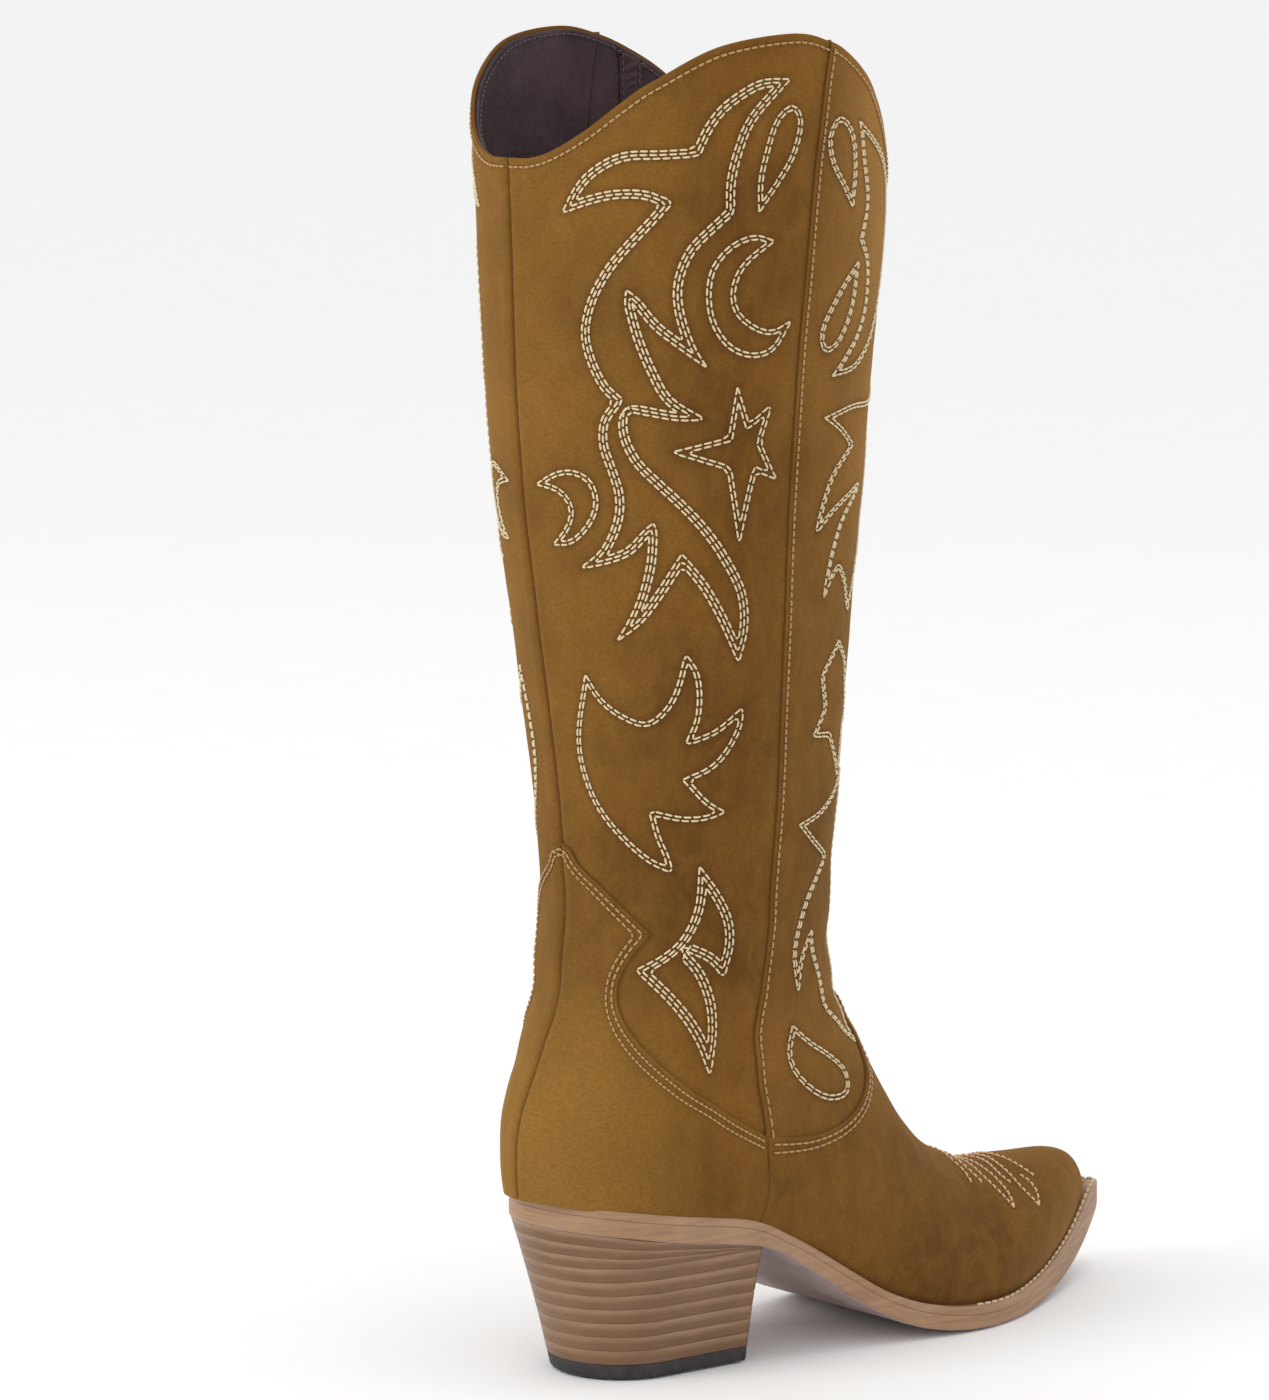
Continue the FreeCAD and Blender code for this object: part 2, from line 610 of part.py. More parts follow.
def sketch_loop(body, name, corners):
    """A closed outline on the body's YZ plane; each corner is two terms, a factor of a sheet value."""
    sketch = body.newObject("Sketcher::SketchObject", name)
    plane = [f for f in body.Origin.OriginFeatures if f.Role == "YZ_Plane"][0]
    sketch.AttachmentSupport = [(plane, "")]
    sketch.MapMode = "FlatFace"
    places = [Vector(a[0] * size(a[1]), b[0] * size(b[1]), 0) for a, b in corners]
    count = len(places)
    for i in range(count):
        sketch.addGeometry(Part.LineSegment(places[i], places[(i + 1) % count]))
    for i in range(count):
        sketch.addConstraint(Sketcher.Constraint("Coincident", i, 2, (i + 1) % count, 1))
    for i, corner in enumerate(corners):
        for kind, (factor, alias) in zip(("DistanceX", "DistanceY"), corner):
            number = sketch.addConstraint(Sketcher.Constraint(kind, -1, 1, i, 1, factor * size(alias)))
            sketch.setExpression("Constraints[%d]" % number, "%s * Dimensions.%s" % (factor, alias))
    return sketch


def rectangle(half_wide, high, low):
    """Corners of a rectangle, symmetric about the vertical axis."""
    wide = (half_wide[0], half_wide[1])
    narrow = (-half_wide[0], half_wide[1])
    return [(narrow, low), (wide, low), (wide, high), (narrow, high)]


def pad(body, name, sketch, length, offset):
    feature = body.newObject("PartDesign::Pad", name)
    feature.Profile = sketch
    feature.setExpression("Length", length)
    sketch.AttachmentOffset = Placement(Vector(0, 0, offset), Rotation())
    body.Tip = feature
    return feature


slider_place = zip_place * Placement(Vector(0, 0, size("slider_rest")), Rotation())

# slider: a plate over the teeth, two flanges beside them and a bail on top
slider = doc.addObject("PartDesign::Body", "zip_slider")
plate_low = -size("tooth_top") + size("slider_gap")
plate_high = plate_low + size("slider_plate")
half_length = ((0.5, "slider_length"), (-0.5, "slider_length"))
plate = sketch_loop(slider, "plate_outline", rectangle((0.5, "slider_width"), *half_length))
pad(slider, "plate", plate, "Dimensions.slider_plate", plate_low)
for side in (-1, 1):
    corners = [((side * 0.5, "slider_width"), half_length[1]),
               ((side * 0.5, "slider_width"), half_length[0]),
               ((side * 0.395, "slider_width"), half_length[0]),
               ((side * 0.395, "slider_width"), half_length[1])]
    flange = sketch_loop(slider, "flange_outline_%d" % (side + 2), corners)
    pad(slider, "flange_%d" % (side + 2), flange, "Dimensions.flange_depth + 0.1",
        plate_low - size("flange_depth"))
for side in (-1, 1):
    corners = rectangle((0.5, "bail_width"), (side * 0.5, "bail_length"),
                        (side * 0.354, "bail_length"))
    post = sketch_loop(slider, "post_outline_%d" % (side + 2), corners)
    pad(slider, "post_%d" % (side + 2), post, "Dimensions.bail_height", plate_high - 0.1)
bar = sketch_loop(slider, "bar_outline", rectangle((0.5, "bail_width"), (0.5, "bail_length"),
                                                   (-0.5, "bail_length")))
pad(slider, "bar", bar, "Dimensions.bail_bar", plate_high + size("bail_height") - size("bail_bar"))
slider.Placement = slider_place
node(slider, "zip_slider")

# pull tab: a flat plate with a slot for the bail and a notched lower end
tab = doc.addObject("PartDesign::Body", "pull_tab")
tab_outline = sketch_loop(tab, "tab_outline", [
    ((-0.5, "tab_width"), (1.6, "tab_crossbar")),
    ((-0.5, "tab_width"), (-1.0, "tab_length")),
    ((0.001, "tab_width"), (-0.883, "tab_length")),
    ((0.5, "tab_width"), (-1.0, "tab_length")),
    ((0.5, "tab_width"), (1.6, "tab_crossbar")),
])
pad(tab, "tab_plate", tab_outline, "Dimensions.tab_thickness", size("tab_offset"))
slot_outline = sketch_loop(tab, "slot_outline",
                           rectangle((0.5, "tab_slot_width"), (0.6, "tab_crossbar"),
                                     (-0.9, "tab_slot_length")))
slot_outline.AttachmentOffset = Placement(Vector(0, 0, size("tab_offset") - 1), Rotation())
slot = tab.newObject("PartDesign::Pocket", "slot")
slot.Profile = slot_outline
slot.setExpression("Length", "Dimensions.tab_thickness + 2")
slot.Reversed = True
tab.Tip = slot
tab.Placement = slider_place
node(tab, "pull_tab")

# ---------------------------------------------------------------- check and write
doc.recompute()
for feature in doc.Objects:
    bad = [state for state in feature.State if state in ("Invalid", "Error")]
    if bad:
        raise RuntimeError("%s is %s" % (feature.Name, bad))
for feature in nodes:
    if feature.Shape.isNull() or not feature.Shape.isValid() or not feature.Shape.Solids:
        raise RuntimeError("%s has no valid solid" % feature.Label)
plain_tab = size("tab_width") * size("tab_length") * size("tab_thickness")
if tab.Shape.Volume > plain_tab:
    raise RuntimeError("the pull tab's slot wasn't cut")
os.makedirs("parts", exist_ok=True)
for feature in nodes:
    feature.Shape.exportStep("parts/%s.step" % feature.Label)
    print("%-22s %2d solids %10.1f mm3" % (feature.Label, len(feature.Shape.Solids), feature.Shape.Volume))
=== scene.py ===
import math

import bmesh
import bpy
import numpy as np
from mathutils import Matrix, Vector, noise
from mathutils.geometry import delaunay_2d_cdt
from mathutils.kdtree import KDTree


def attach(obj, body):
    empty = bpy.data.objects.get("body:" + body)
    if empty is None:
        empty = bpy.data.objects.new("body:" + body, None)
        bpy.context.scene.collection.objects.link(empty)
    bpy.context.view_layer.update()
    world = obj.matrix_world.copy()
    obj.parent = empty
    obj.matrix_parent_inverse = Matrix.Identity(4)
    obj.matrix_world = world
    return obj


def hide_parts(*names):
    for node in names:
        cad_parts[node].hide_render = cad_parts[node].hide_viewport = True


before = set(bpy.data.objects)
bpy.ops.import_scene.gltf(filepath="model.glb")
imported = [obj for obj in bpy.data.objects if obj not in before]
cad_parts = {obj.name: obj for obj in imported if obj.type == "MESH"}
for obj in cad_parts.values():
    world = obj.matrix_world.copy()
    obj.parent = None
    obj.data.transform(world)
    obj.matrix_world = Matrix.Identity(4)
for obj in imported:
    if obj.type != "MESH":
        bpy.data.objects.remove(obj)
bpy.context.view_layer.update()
MM = 0.001

# ------------------------------------------------------------------ the boot's outer surface, mm
# back forward, back height, front forward, front height, half width lateral and medial, centre, belly
STATIONS = np.array((
    (-9.5, 440, 136, 440, 58.5, 58.5, 0, 1),
    (-8.5, 405, 135.5, 405, 58, 58, 0, 1),
    (-6.5, 368, 134, 368, 56.5, 56.4, 0, 1),
    (-5, 330, 131, 330, 54, 53.6, 0, 1),
    (-2.5, 292, 128, 292, 51, 50.3, 0, 1),
    (2.5, 255, 124.8, 255, 48, 47.4, 0, 1),
    (8, 220, 122, 220, 45, 45.1, 0, 1),
    (12.5, 188, 119.8, 188, 42, 43, 0, 1),
    (15, 158, 117.5, 160, 40, 41.2, 0, 1),
    (13.5, 132, 117, 138, 38.5, 39.7, 0, 1),
    (7, 110, 119.5, 121, 37.5, 38.6, 0, 1),
    (-2, 90, 125.5, 110, 37, 37.8, 0, 1),
    (-5, 69, 131.5, 101, 37, 37.1, 0, 1),
    (2.5, 46, 137.5, 92.5, 37, 37, 0, 1.03),
    (29, 41, 144, 82, 36.5, 36.5, 0, 1.1),
    (56, 35, 151.5, 71, 36, 35.5, 0, 1.2),
    (84, 27, 160.5, 60.5, 36.5, 35, 0, 1.35),
    (110, 14, 172, 51.5, 38.5, 36, 0, 1.5),
    (135, 3, 186, 46.5, 41, 38, 0.5, 1.65),
    (161, -1, 203, 45.5, 40.5, 37.5, 1.5, 1.7),
    (187, 0, 218, 44.8, 33.5, 31.5, 3, 1.7),
    (211, 5, 231, 44.2, 23.5, 23, 4.5, 1.6),
    (230, 12, 240.5, 41.5, 14.5, 14.5, 5.5, 1.4),
    (241.5, 19, 245.5, 37, 8.5, 8.5, 6, 1.2),
    (247, 25, 248.3, 31.5, 3.5, 3.5, 6, 1),
    (249.2, 28, 249.4, 29, 0.3, 0.3, 6, 1),
))
LAST = len(STATIONS) - 1
HEEL_CENTRE = 43.0


def natural_spline(values):
    """Second derivatives of the natural cubic spline through evenly spaced rows."""
    bends = np.zeros_like(values)
    for _ in range(60):
        for i in range(1, len(values) - 1):
            pull = 6 * (values[i + 1] - 2 * values[i] + values[i - 1])
            bends[i] = (pull - bends[i - 1] - bends[i + 1]) / 4
    return bends


BENDS = natural_spline(STATIONS)


def station(v):
    """The eight values of STATIONS at rows v, between rows by the spline."""
    v = np.asarray(v, float)
    i = np.clip(v.astype(int), 0, LAST - 1)
    t = (v - i)[:, None]
    r = 1 - t
    return (r * STATIONS[i] + t * STATIONS[i + 1]
            + ((r ** 3 - r) * BENDS[i] + (t ** 3 - t) * BENDS[i + 1]) / 6).T


def surface(v, turn):
    """Points for stations v and angles turn: 0 back, pi/2 lateral, pi front, 3 pi/2 medial."""
    back, back_z, front, front_z, lateral, medial, centre, belly = station(v)
    share = np.clip((1 - np.cos(turn)) / 2, 0, 1) ** belly
    half = np.where(np.sin(turn) > 0, lateral, medial)
    return np.stack([centre - half * np.sin(turn), HEEL_CENTRE - back - (front - back) * share,
                     back_z + (front_z - back_z) * share], 1)


def surface_normal(v, turn):
    """Outward normals of the surface."""
    step = 1e-3
    v = np.clip(v, step, LAST - step)
    along = surface(v + step, turn) - surface(v - step, turn)
    around = surface(v, turn + step) - surface(v, turn - step)
    normal = np.cross(along, around)
    return normal / np.maximum(np.linalg.norm(normal, axis=1, keepdims=True), 1e-9)


# ------------------------------------------------------------------ charts: the surface laid flat


class Chart:
    """x is the distance round from a centre angle, y falls along the surface at that angle; both mm."""

    sign = 1

    def __init__(self, centre):
        self.centre = centre
        line = surface(FINE_V, np.full(len(FINE_V), centre))
        steps = np.linalg.norm(np.diff(line, axis=0), axis=1)
        self.length = np.concatenate([[0], np.cumsum(np.maximum(steps, 1e-4))])

    def to(self, vt):
        v, turn = np.asarray(vt, float).T
        return np.stack([(turn - self.centre) * np.interp(v, FINE_V, GIRTH),
                         -np.interp(v, FINE_V, self.length)], 1)

    def back(self, xy):
        v = np.interp(-xy[:, 1], self.length, FINE_V)
        return v, xy[:, 0] / np.interp(v, FINE_V, GIRTH) + self.centre

    def place(self, xy, heights):
        v, turn = self.back(xy)
        return surface(v, turn) + surface_normal(v, turn) * np.asarray(heights)[:, None]


FINE_V = np.linspace(0, LAST, 1001)
ROUND = np.linspace(0, 2 * math.pi, 73)
GIRTH = np.array([np.linalg.norm(np.diff(surface(np.full(73, v), ROUND), axis=0), axis=1).sum()
                  for v in FINE_V]) / (2 * math.pi)


def smooth_run(points, spacing=1.2):
    """A Catmull-Rom curve through points, resampled to an even spacing."""
    p = np.asarray(points, float)
    if len(p) == 2:
        return resample(p, spacing)
    ends = np.vstack([2 * p[0] - p[1], p, 2 * p[-1] - p[-2]])
    t = np.linspace(0, 1, 24, endpoint=False)[:, None]
    pieces = [0.5 * (2 * b + (c - a) * t + (2 * a - 5 * b + 4 * c - d) * t ** 2
                     + (3 * b - a - 3 * c + d) * t ** 3)
              for a, b, c, d in zip(ends, ends[1:], ends[2:], ends[3:])]
    return resample(np.vstack(pieces + [p[-1:]]), spacing)


def resample(path, spacing):
    """The path with points an even distance apart, as near to spacing as its length allows."""
    lengths = np.concatenate([[0], np.cumsum(np.linalg.norm(np.diff(path, axis=0), axis=1))])
    count = max(int(round(lengths[-1] / spacing)), 1)
    at = np.linspace(0, lengths[-1], count + 1)
    return np.stack([np.interp(at, lengths, path[:, k]) for k in range(path.shape[1])], 1)


def height_line(points):
    """A smooth line of the side view: height as a function of the forward distance."""
    run = smooth_run(points, 0.5)
    return lambda forward: np.interp(forward, run[:, 0], run[:, 1])


def locate(side):
    """(station, angle) of side-view points (forward, height), on the lateral side."""
    grid = np.linspace(0, LAST, 601)
    back, back_z, front, front_z = station(grid)[:4]
    out = []
    for forward, height in np.asarray(side, float):
        miss = (height - back_z) * (front - back) - (forward - back) * (front_z - back_z)
        flips = np.nonzero((miss[:-1] > 0) & (miss[1:] <= 0) | (miss[:-1] <= 0) & (miss[1:] > 0))[0]
        i = flips[0] if len(flips) else min(int(np.argmin(abs(miss))), len(grid) - 2)
        t = np.clip(miss[i] / (miss[i] - miss[i + 1] + 1e-12), 0, 1)
        v = grid[i] + t * (grid[i + 1] - grid[i])
        b, bz, f, fz, _, _, _, belly = station([v])[:, 0]
        share = ((forward - b) * (f - b) + (height - bz) * (fz - bz)) / ((f - b) ** 2 + (fz - bz) ** 2)
        out.append((v, math.acos(1 - 2 * min(max(share, 0), 1) ** (1 / belly))))
    return np.array(out)


def mirror(vt):
    """The same line on the other side."""
    vt = np.asarray(vt, float)
    return np.stack([vt[:, 0], 2 * math.pi - vt[:, 1]], 1)


def medial(vt):
    """The same line on the other side, in the opposite order."""
    return mirror(vt)[::-1]


def behind(vt):
    """Angles past the front become angles before the back."""
    return np.stack([vt[:, 0], np.where(vt[:, 1] > math.pi, vt[:, 1] - 2 * math.pi, vt[:, 1])], 1)


def halving(count, low, high, past):
    """Where past(values) turns true between low and high, for count values at once."""
    low, high = np.full(count, float(low)), np.full(count, float(high))
    for _ in range(40):
        mid = (low + high) / 2
        beyond = past(mid)
        low, high = np.where(beyond, low, mid), np.where(beyond, mid, high)
    return (low + high) / 2


def above(points, line):
    """Which space points lie above a height line."""
    return points[:, 2] > line(HEEL_CENTRE - points[:, 1])


def cross_line(turns, line, low_v, high_v):
    """(station, angle) where the surface crosses a height line at given angles."""
    turns = np.asarray(turns, float)
    v = halving(len(turns), low_v, high_v, lambda v: ~above(surface(v, turns), line))
    return np.stack([v, turns], 1)


def cross_round(stations, line):
    """(station, angle) where each section crosses a height line on the lateral side."""
    turns = halving(len(stations), 0, math.pi, lambda turns: above(surface(stations, turns), line))
    return np.stack([stations, turns], 1)


def at_height(points):
    """(station, angle) of (degrees round from the back, height) on the upper."""
    degrees, heights = np.asarray(points, float).T
    return cross_line(np.radians(degrees), lambda forward: heights, 0, 20)


# ------------------------------------------------------------------ plates: closed sheets with worked edges


LOOP_SPACING = 1.3
OUTSET_STEP = 0.7


def inside_polygon(points, loop):
    """Which points lie inside a loop: those with an odd number of its edges to their right."""
    x, y = points[:, 0], points[:, 1]
    inside = np.zeros(len(points), bool)
    for (x0, y0), (x1, y1) in zip(loop, np.roll(loop, -1, axis=0)):
        if y0 != y1:
            inside ^= ((y0 > y) != (y1 > y)) & (x < (x1 - x0) * (y - y0) / (y1 - y0) + x0)
    return inside


def distances(points, targets):
    """Distance from each plane point to the nearest target point."""
    if not len(targets) or not len(points):
        return np.full(len(points), 1e6)
    tree = KDTree(len(targets))
    for i, (x, y) in enumerate(targets):
        tree.insert((x, y, 0), i)
    tree.balance()
    return np.array([tree.find((x, y, 0))[2] for x, y in points])


def path_normals(path, closed):
    """Left-hand normals of a plane path, lengthened at corners so that an offset keeps its distance."""
    if closed:
        before, after = np.roll(path, 1, axis=0), np.roll(path, -1, axis=0)
    else:
        before = np.vstack([2 * path[0] - path[1], path[:-1]])
        after = np.vstack([path[1:], 2 * path[-1] - path[-2]])
    n1 = np.stack([before[:, 1] - path[:, 1], path[:, 0] - before[:, 0]], 1)
    n2 = np.stack([path[:, 1] - after[:, 1], after[:, 0] - path[:, 0]], 1)
    n1 /= np.maximum(np.linalg.norm(n1, axis=1, keepdims=True), 1e-9)
    n2 /= np.maximum(np.linalg.norm(n2, axis=1, keepdims=True), 1e-9)
    n = n1 + n2
    n /= np.maximum(np.linalg.norm(n, axis=1, keepdims=True), 1e-9)
    return n / np.clip((n * n1).sum(1, keepdims=True), 0.5, 1)


def runs_left(loop):
    """Whether a loop runs counter-clockwise."""
    return (loop[:, 0] * np.roll(loop[:, 1], -1) - np.roll(loop[:, 0], -1) * loop[:, 1]).sum() > 0


def counter_clockwise(loop):
    return loop if runs_left(loop) else loop[::-1]


def outline(chart, segments):
    """A counter-clockwise loop from (line, outset) pairs; each line is moved outwards by its outset."""
    points, outsets = [], []
    for vt, outset in segments:
        run = resample(chart.to(vt), LOOP_SPACING)
        points.append(run[:-1])
        outsets.append(np.full(len(run) - 1, float(outset)))
    loop, outset = np.vstack(points), np.concatenate(outsets)
    for _ in range(2):
        beside = np.minimum(np.roll(outset, 1), np.roll(outset, -1)) + OUTSET_STEP
        outset = np.where(outset > 0, np.minimum(outset, beside), outset)
    if not runs_left(loop):
        loop, outset = loop[::-1], outset[::-1]
    return loop - path_normals(loop, True) * outset[:, None]


def fill(loop, spacing, extra=None, keep_off=0.0):
    """Triangulates a loop with a grid and extra points; returns points, the loop's indices and faces."""
    low, high = loop.min(0), loop.max(0)
    rows = []
    for k, y in enumerate(np.arange(low[1], high[1], spacing * math.sqrt(0.75))):
        x = np.arange(low[0] + (spacing / 2 if k % 2 else 0), high[0], spacing)
        rows.append(np.stack([x, np.full(len(x), y)], 1))
    grid = np.vstack(rows)
    grid = grid[inside_polygon(grid, loop)]
    grid = grid[distances(grid, loop) > spacing * 0.55]
    if extra is not None and len(extra):
        extra = extra[inside_polygon(extra, loop)]
        extra = extra[distances(extra, loop) > 0.35]
        grid = grid[distances(grid, extra) > keep_off]
        grid = np.vstack([grid, extra])
    count = len(loop)
    points = [Vector(p) for p in loop] + [Vector(p) for p in grid]
    edges = [(k, (k + 1) % count) for k in range(count)]
    verts, _, faces, origins, _, _ = delaunay_2d_cdt(points, edges, [list(range(count))], 1, 1e-5)
    index = np.zeros(count, int)
    for out, sources in enumerate(origins):
        for source in sources:
            if source < count:
                index[source] = out
    return np.array([tuple(p) for p in verts]), index, [tuple(face) for face in faces]


def mesh_object(name, verts, faces, smooth=True):
    """An object in metres from vertices in mm."""
    mesh = bpy.data.meshes.new(name)
    mesh.from_pydata((np.asarray(verts) * MM).tolist(), [], faces)
    mesh.validate()
    mesh.update()
    if smooth:
        mesh.shade_smooth()
    piece = bpy.data.objects.new(name, mesh)
    bpy.context.collection.objects.link(piece)
    return piece


def set_value(piece, name, values):
    """A number for each vertex, for the materials."""
    layer = piece.data.attributes.new(name, "FLOAT", "POINT")
    layer.data.foreach_set("value", np.asarray(values, np.float32))


def close_gaps(piece, weld=False):
    """Fills the openings left where an inset outline folds over itself, and turns the faces outwards.

    weld first joins the points that lie in one place.
    """
    bm = bmesh.new()
    bm.from_mesh(piece.data)
    if weld:
        bmesh.ops.remove_doubles(bm, verts=bm.verts, dist=1e-6)
        bmesh.ops.delete(bm, geom=[v for v in bm.verts if not v.link_faces], context="VERTS")
    bmesh.ops.holes_fill(bm, edges=[edge for edge in bm.edges if edge.is_boundary], sides=0)
    bmesh.ops.recalc_face_normals(bm, faces=bm.faces)
    bm.to_mesh(piece.data)
    bm.free()


CUT_EDGE = -0.08


def plate(name, loop, place, profile, spacing, back_spacing, top=None, extra=None, keep_off=0.0,
          shades=None):
    """A closed plate over a plane loop.

    place(points, heights) gives space points. profile lists (inset, height, share) rings from the
    underside to the top, where share is how far the ring follows top(points). The attribute side is 1
    below the height CUT_EDGE, where the leather's cut edge and back show.
    """
    count = len(loop)
    normals = path_normals(loop, True)
    top = top or (lambda points: np.zeros(len(points)))
    rings = [loop + normals * inset for inset, _, _ in profile]
    points, current, faces = fill(rings[-1], spacing, extra, keep_off)
    flat = [points]
    verts = [place(points, top(points) * profile[-1][2] + profile[-1][1])]
    sides = [np.zeros(len(points))]
    total = len(points)
    after = np.roll(np.arange(count), -1)
    for ring, (_, height, share) in list(zip(rings, profile))[-2::-1]:
        verts.append(place(ring, top(ring) * share + height))
        flat.append(ring)
        sides.append(np.full(count, 1.0 if height < CUT_EDGE else 0.0))
        nxt = total + np.arange(count)
        quads = np.stack([current[after], current, nxt, nxt[after]], 1)
        faces += [tuple(q) for q in quads.tolist()]
        current = nxt
        total += count
    points, index, inner = fill(rings[0], back_spacing)
    remap = np.arange(len(points)) + total
    remap[index] = current
    verts.append(place(points, np.full(len(points), profile[0][1])))
    flat.append(points)
    sides.append(np.ones(len(points)))
    faces += [tuple(remap[list(face)][::-1].tolist()) for face in inner]
    verts = np.vstack(verts)
    used = np.zeros(len(verts), bool)
    used[[i for face in faces for i in face]] = True
    renumber = (np.cumsum(used) - 1).tolist()
    faces = [tuple(renumber[i] for i in face) for face in faces]
    piece = mesh_object(name, verts[used], faces)
    close_gaps(piece)
    flat = np.vstack(flat)[used]
    set_value(piece, "side", np.concatenate(sides)[used])
    if shades:
        for key, value in shades(flat).items():
            set_value(piece, key, value)
    return piece


def ring_mesh(ring_sets, closed=False):
    """Vertices and faces of solids made of equal rings; closed joins the last ring to the first."""
    verts, faces, start = [], [], 0
    for rings in ring_sets:
        count, total = len(rings[0]), len(rings)
        for r in range(total if closed else total - 1):
            a, b = start + r * count, start + (r + 1) % total * count
            for k in range(count):
                j = (k + 1) % count
                faces.append((a + k, a + j, b + j, b + k))
        if not closed:
            faces.append(tuple(start + k for k in range(count))[::-1])
            faces.append(tuple(start + (total - 1) * count + k for k in range(count)))
        verts += list(rings)
        start += count * total
    return np.vstack(verts), faces


def band(name, rings, closed=False):
    """A piece in the boot's frame from one row of rings."""
    return mesh_object(name, *ring_mesh([rings], closed))


def stand_in(piece, node, body="boot"):
    """Puts a piece in the place of a CAD node and the body that it rides on."""
    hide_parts(node)
    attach(piece, body)
    return piece


# ------------------------------------------------------------------ sewing


def holes(path, pitch):
    """Needle holes evenly along a path, with the points half way between them."""
    lengths = np.linalg.norm(np.diff(path, axis=0), axis=1).sum()
    count = max(int(round(lengths / pitch)), 1)
    return resample(path, lengths / (2 * count))


ARCH, SINK = 0.22, 0.3
# along each stitch: (share of its length, share of its radius, height)
STRAND_RINGS = ((0.06, 0.0, -SINK), (0.13, 0.8, -0.02), (0.28, 1.0, ARCH), (0.72, 1.0, ARCH),
                (0.87, 0.8, -0.02), (0.94, 0.0, -SINK))


def thread_mesh(ends, normals, radius):
    """Vertices and faces of stitches: each a round strand that dives into the leather at both ends."""
    a, b = ends
    run = b - a
    length = np.linalg.norm(run, axis=1, keepdims=True)
    run = run / np.maximum(length, 1e-9)
    side = np.cross(normals, run)
    side /= np.maximum(np.linalg.norm(side, axis=1, keepdims=True), 1e-9)
    up = np.cross(run, side)
    rounds = np.arange(6)[None, :, None] * math.pi / 3
    circle = np.cos(rounds) * side[:, None, :] + np.sin(rounds) * up[:, None, :]
    verts = []
    for at, size, rise in STRAND_RINGS:
        middle = (a + run * length * at + up * rise)[:, None, :]
        verts.append(middle + radius * size * circle if size else middle)
    verts = np.concatenate(verts, 1)
    per = verts.shape[1]
    pattern = [(0, 1 + k, 1 + (k + 1) % 6) for k in range(6)]
    for ring in range(3):
        base = 1 + ring * 6
        pattern += [(base + k, base + 6 + k, base + 6 + (k + 1) % 6, base + (k + 1) % 6) for k in range(6)]
    pattern += [(per - 1, 19 + (k + 1) % 6, 19 + k) for k in range(6)]
    faces = [tuple(i + s * per for i in face[::-1]) for s in range(len(a)) for face in pattern]
    return verts.reshape(-1, 3), faces


class Sewing:
    """Collects stitches of one colour into one piece."""

    def __init__(self):
        self.ends, self.normals, self.sizes = [], [], []

    def add(self, chart, marks, base, radius):
        """Stitches between every second mark of a row, on top of base(points)."""
        pins = marks[::2]
        spots = chart.place(pins, base(pins))
        normals = surface_normal(*chart.back(pins)) * chart.sign
        self.ends.append((spots[:-1], spots[1:]))
        middle = normals[:-1] + normals[1:]
        self.normals.append(middle / np.linalg.norm(middle, axis=1, keepdims=True))
        self.sizes.append(radius)

    def build(self, name):
        verts, faces = [], []
        total = 0
        for ends, normals, size in zip(self.ends, self.normals, self.sizes):
            v, f = thread_mesh(ends, normals, size)
            verts.append(v)
            faces += [tuple(i + total for i in face) for face in f]
            total += len(v)
        return mesh_object(name, np.vstack(verts), faces)


# ------------------------------------------------------------------ lines of the design, mm

RIM = height_line(((-30, 390.6), (-8.6, 390.6), (-7.4, 390.7), (-6.2, 391.3), (-4.9, 392.7), (-2.6, 395.6),
                   (0.5, 399.5), (7.5, 408), (15.5, 415), (34, 425.3), (60, 429),
                   (76, 426.2), (88, 421), (98.6, 413.8), (109, 402.3), (118, 390), (125, 381.5), (130, 378),
                   (135, 376.5), (150, 376)))
FEATHER_LINE = ((-30, 65.3), (0, 60.2), (35, 54.3), (66, 48.8), (82, 41.6), (95, 34.2), (109, 25.3),
                (122, 17.3), (135, 12), (150, 8.8), (168, 7.6), (185, 8.4), (203, 11.2), (222, 16.6),
                (240, 24))
FEATHER = height_line(FEATHER_LINE + ((262, 34.5),))
SOLE_TOP = height_line(FEATHER_LINE + ((246, 26.8), (250, 28.1), (254, 28.6), (258, 28.5), (262, 28.2)))
UNDERSIDE = height_line(((-30, 56.5), (0, 51.4), (35, 45.4), (70, 39.4), (84, 33), (99, 23.3), (112, 14.6),
                         (128, 6), (143, 1.7), (160, 0), (178, 0), (195, 0.6), (216, 4), (241, 11.8),
                         (265, 24)))
CORNER = (68.5, 76.5)
SEAM_FOOT = (69.6, 48.3)
FOXING_BACK = ((14.3, 173), (15.6, 166.3), (18.6, 160.1), (22.8, 153.3), (28.5, 145.6))
FOXING_FRONT = ((28.5, 145.6), (24.2, 138.6), (20.9, 130.5), (20.1, 122), (22.2, 113.7), (27.8, 105.2),
                (37.8, 95.9), (47.8, 89.2), (57, 83), CORNER)
LOWER_SEAM = (CORNER, (69.4, 68.4), (70.3, 61.5), (70.3, 54.5), SEAM_FOOT)
VAMP_SIDE = (CORNER, (79, 74.8), (90, 73.7), (101.6, 74.6), (111.5, 77.3), (120.5, 82.4), (126, 89),
             (126.5, 95.5), (124, 102.5), (120.5, 108.5), (119.2, 113.5), (121, 117.3))
UPPER_SEAM = ((75.8, 426.5), (72.4, 408), (68.7, 377), (66.7, 346), (65.5, 314), (65.4, 283))
SIDE_SEAM = UPPER_SEAM + ((66.2, 251), (67, 219), (68.3, 190), (67.6, 165), (67.1, 148), (66.6, 134),
                          (63.8, 119), (62.9, 108.5), (64.3, 98), (66, 88), CORNER)
INNER_SEAM = UPPER_SEAM + ((66.2, 251), (67.5, 219), (70, 186), (71.3, 153), (72, 125), (71.5, 108))
ZIP_TOP = (66.2, 262)
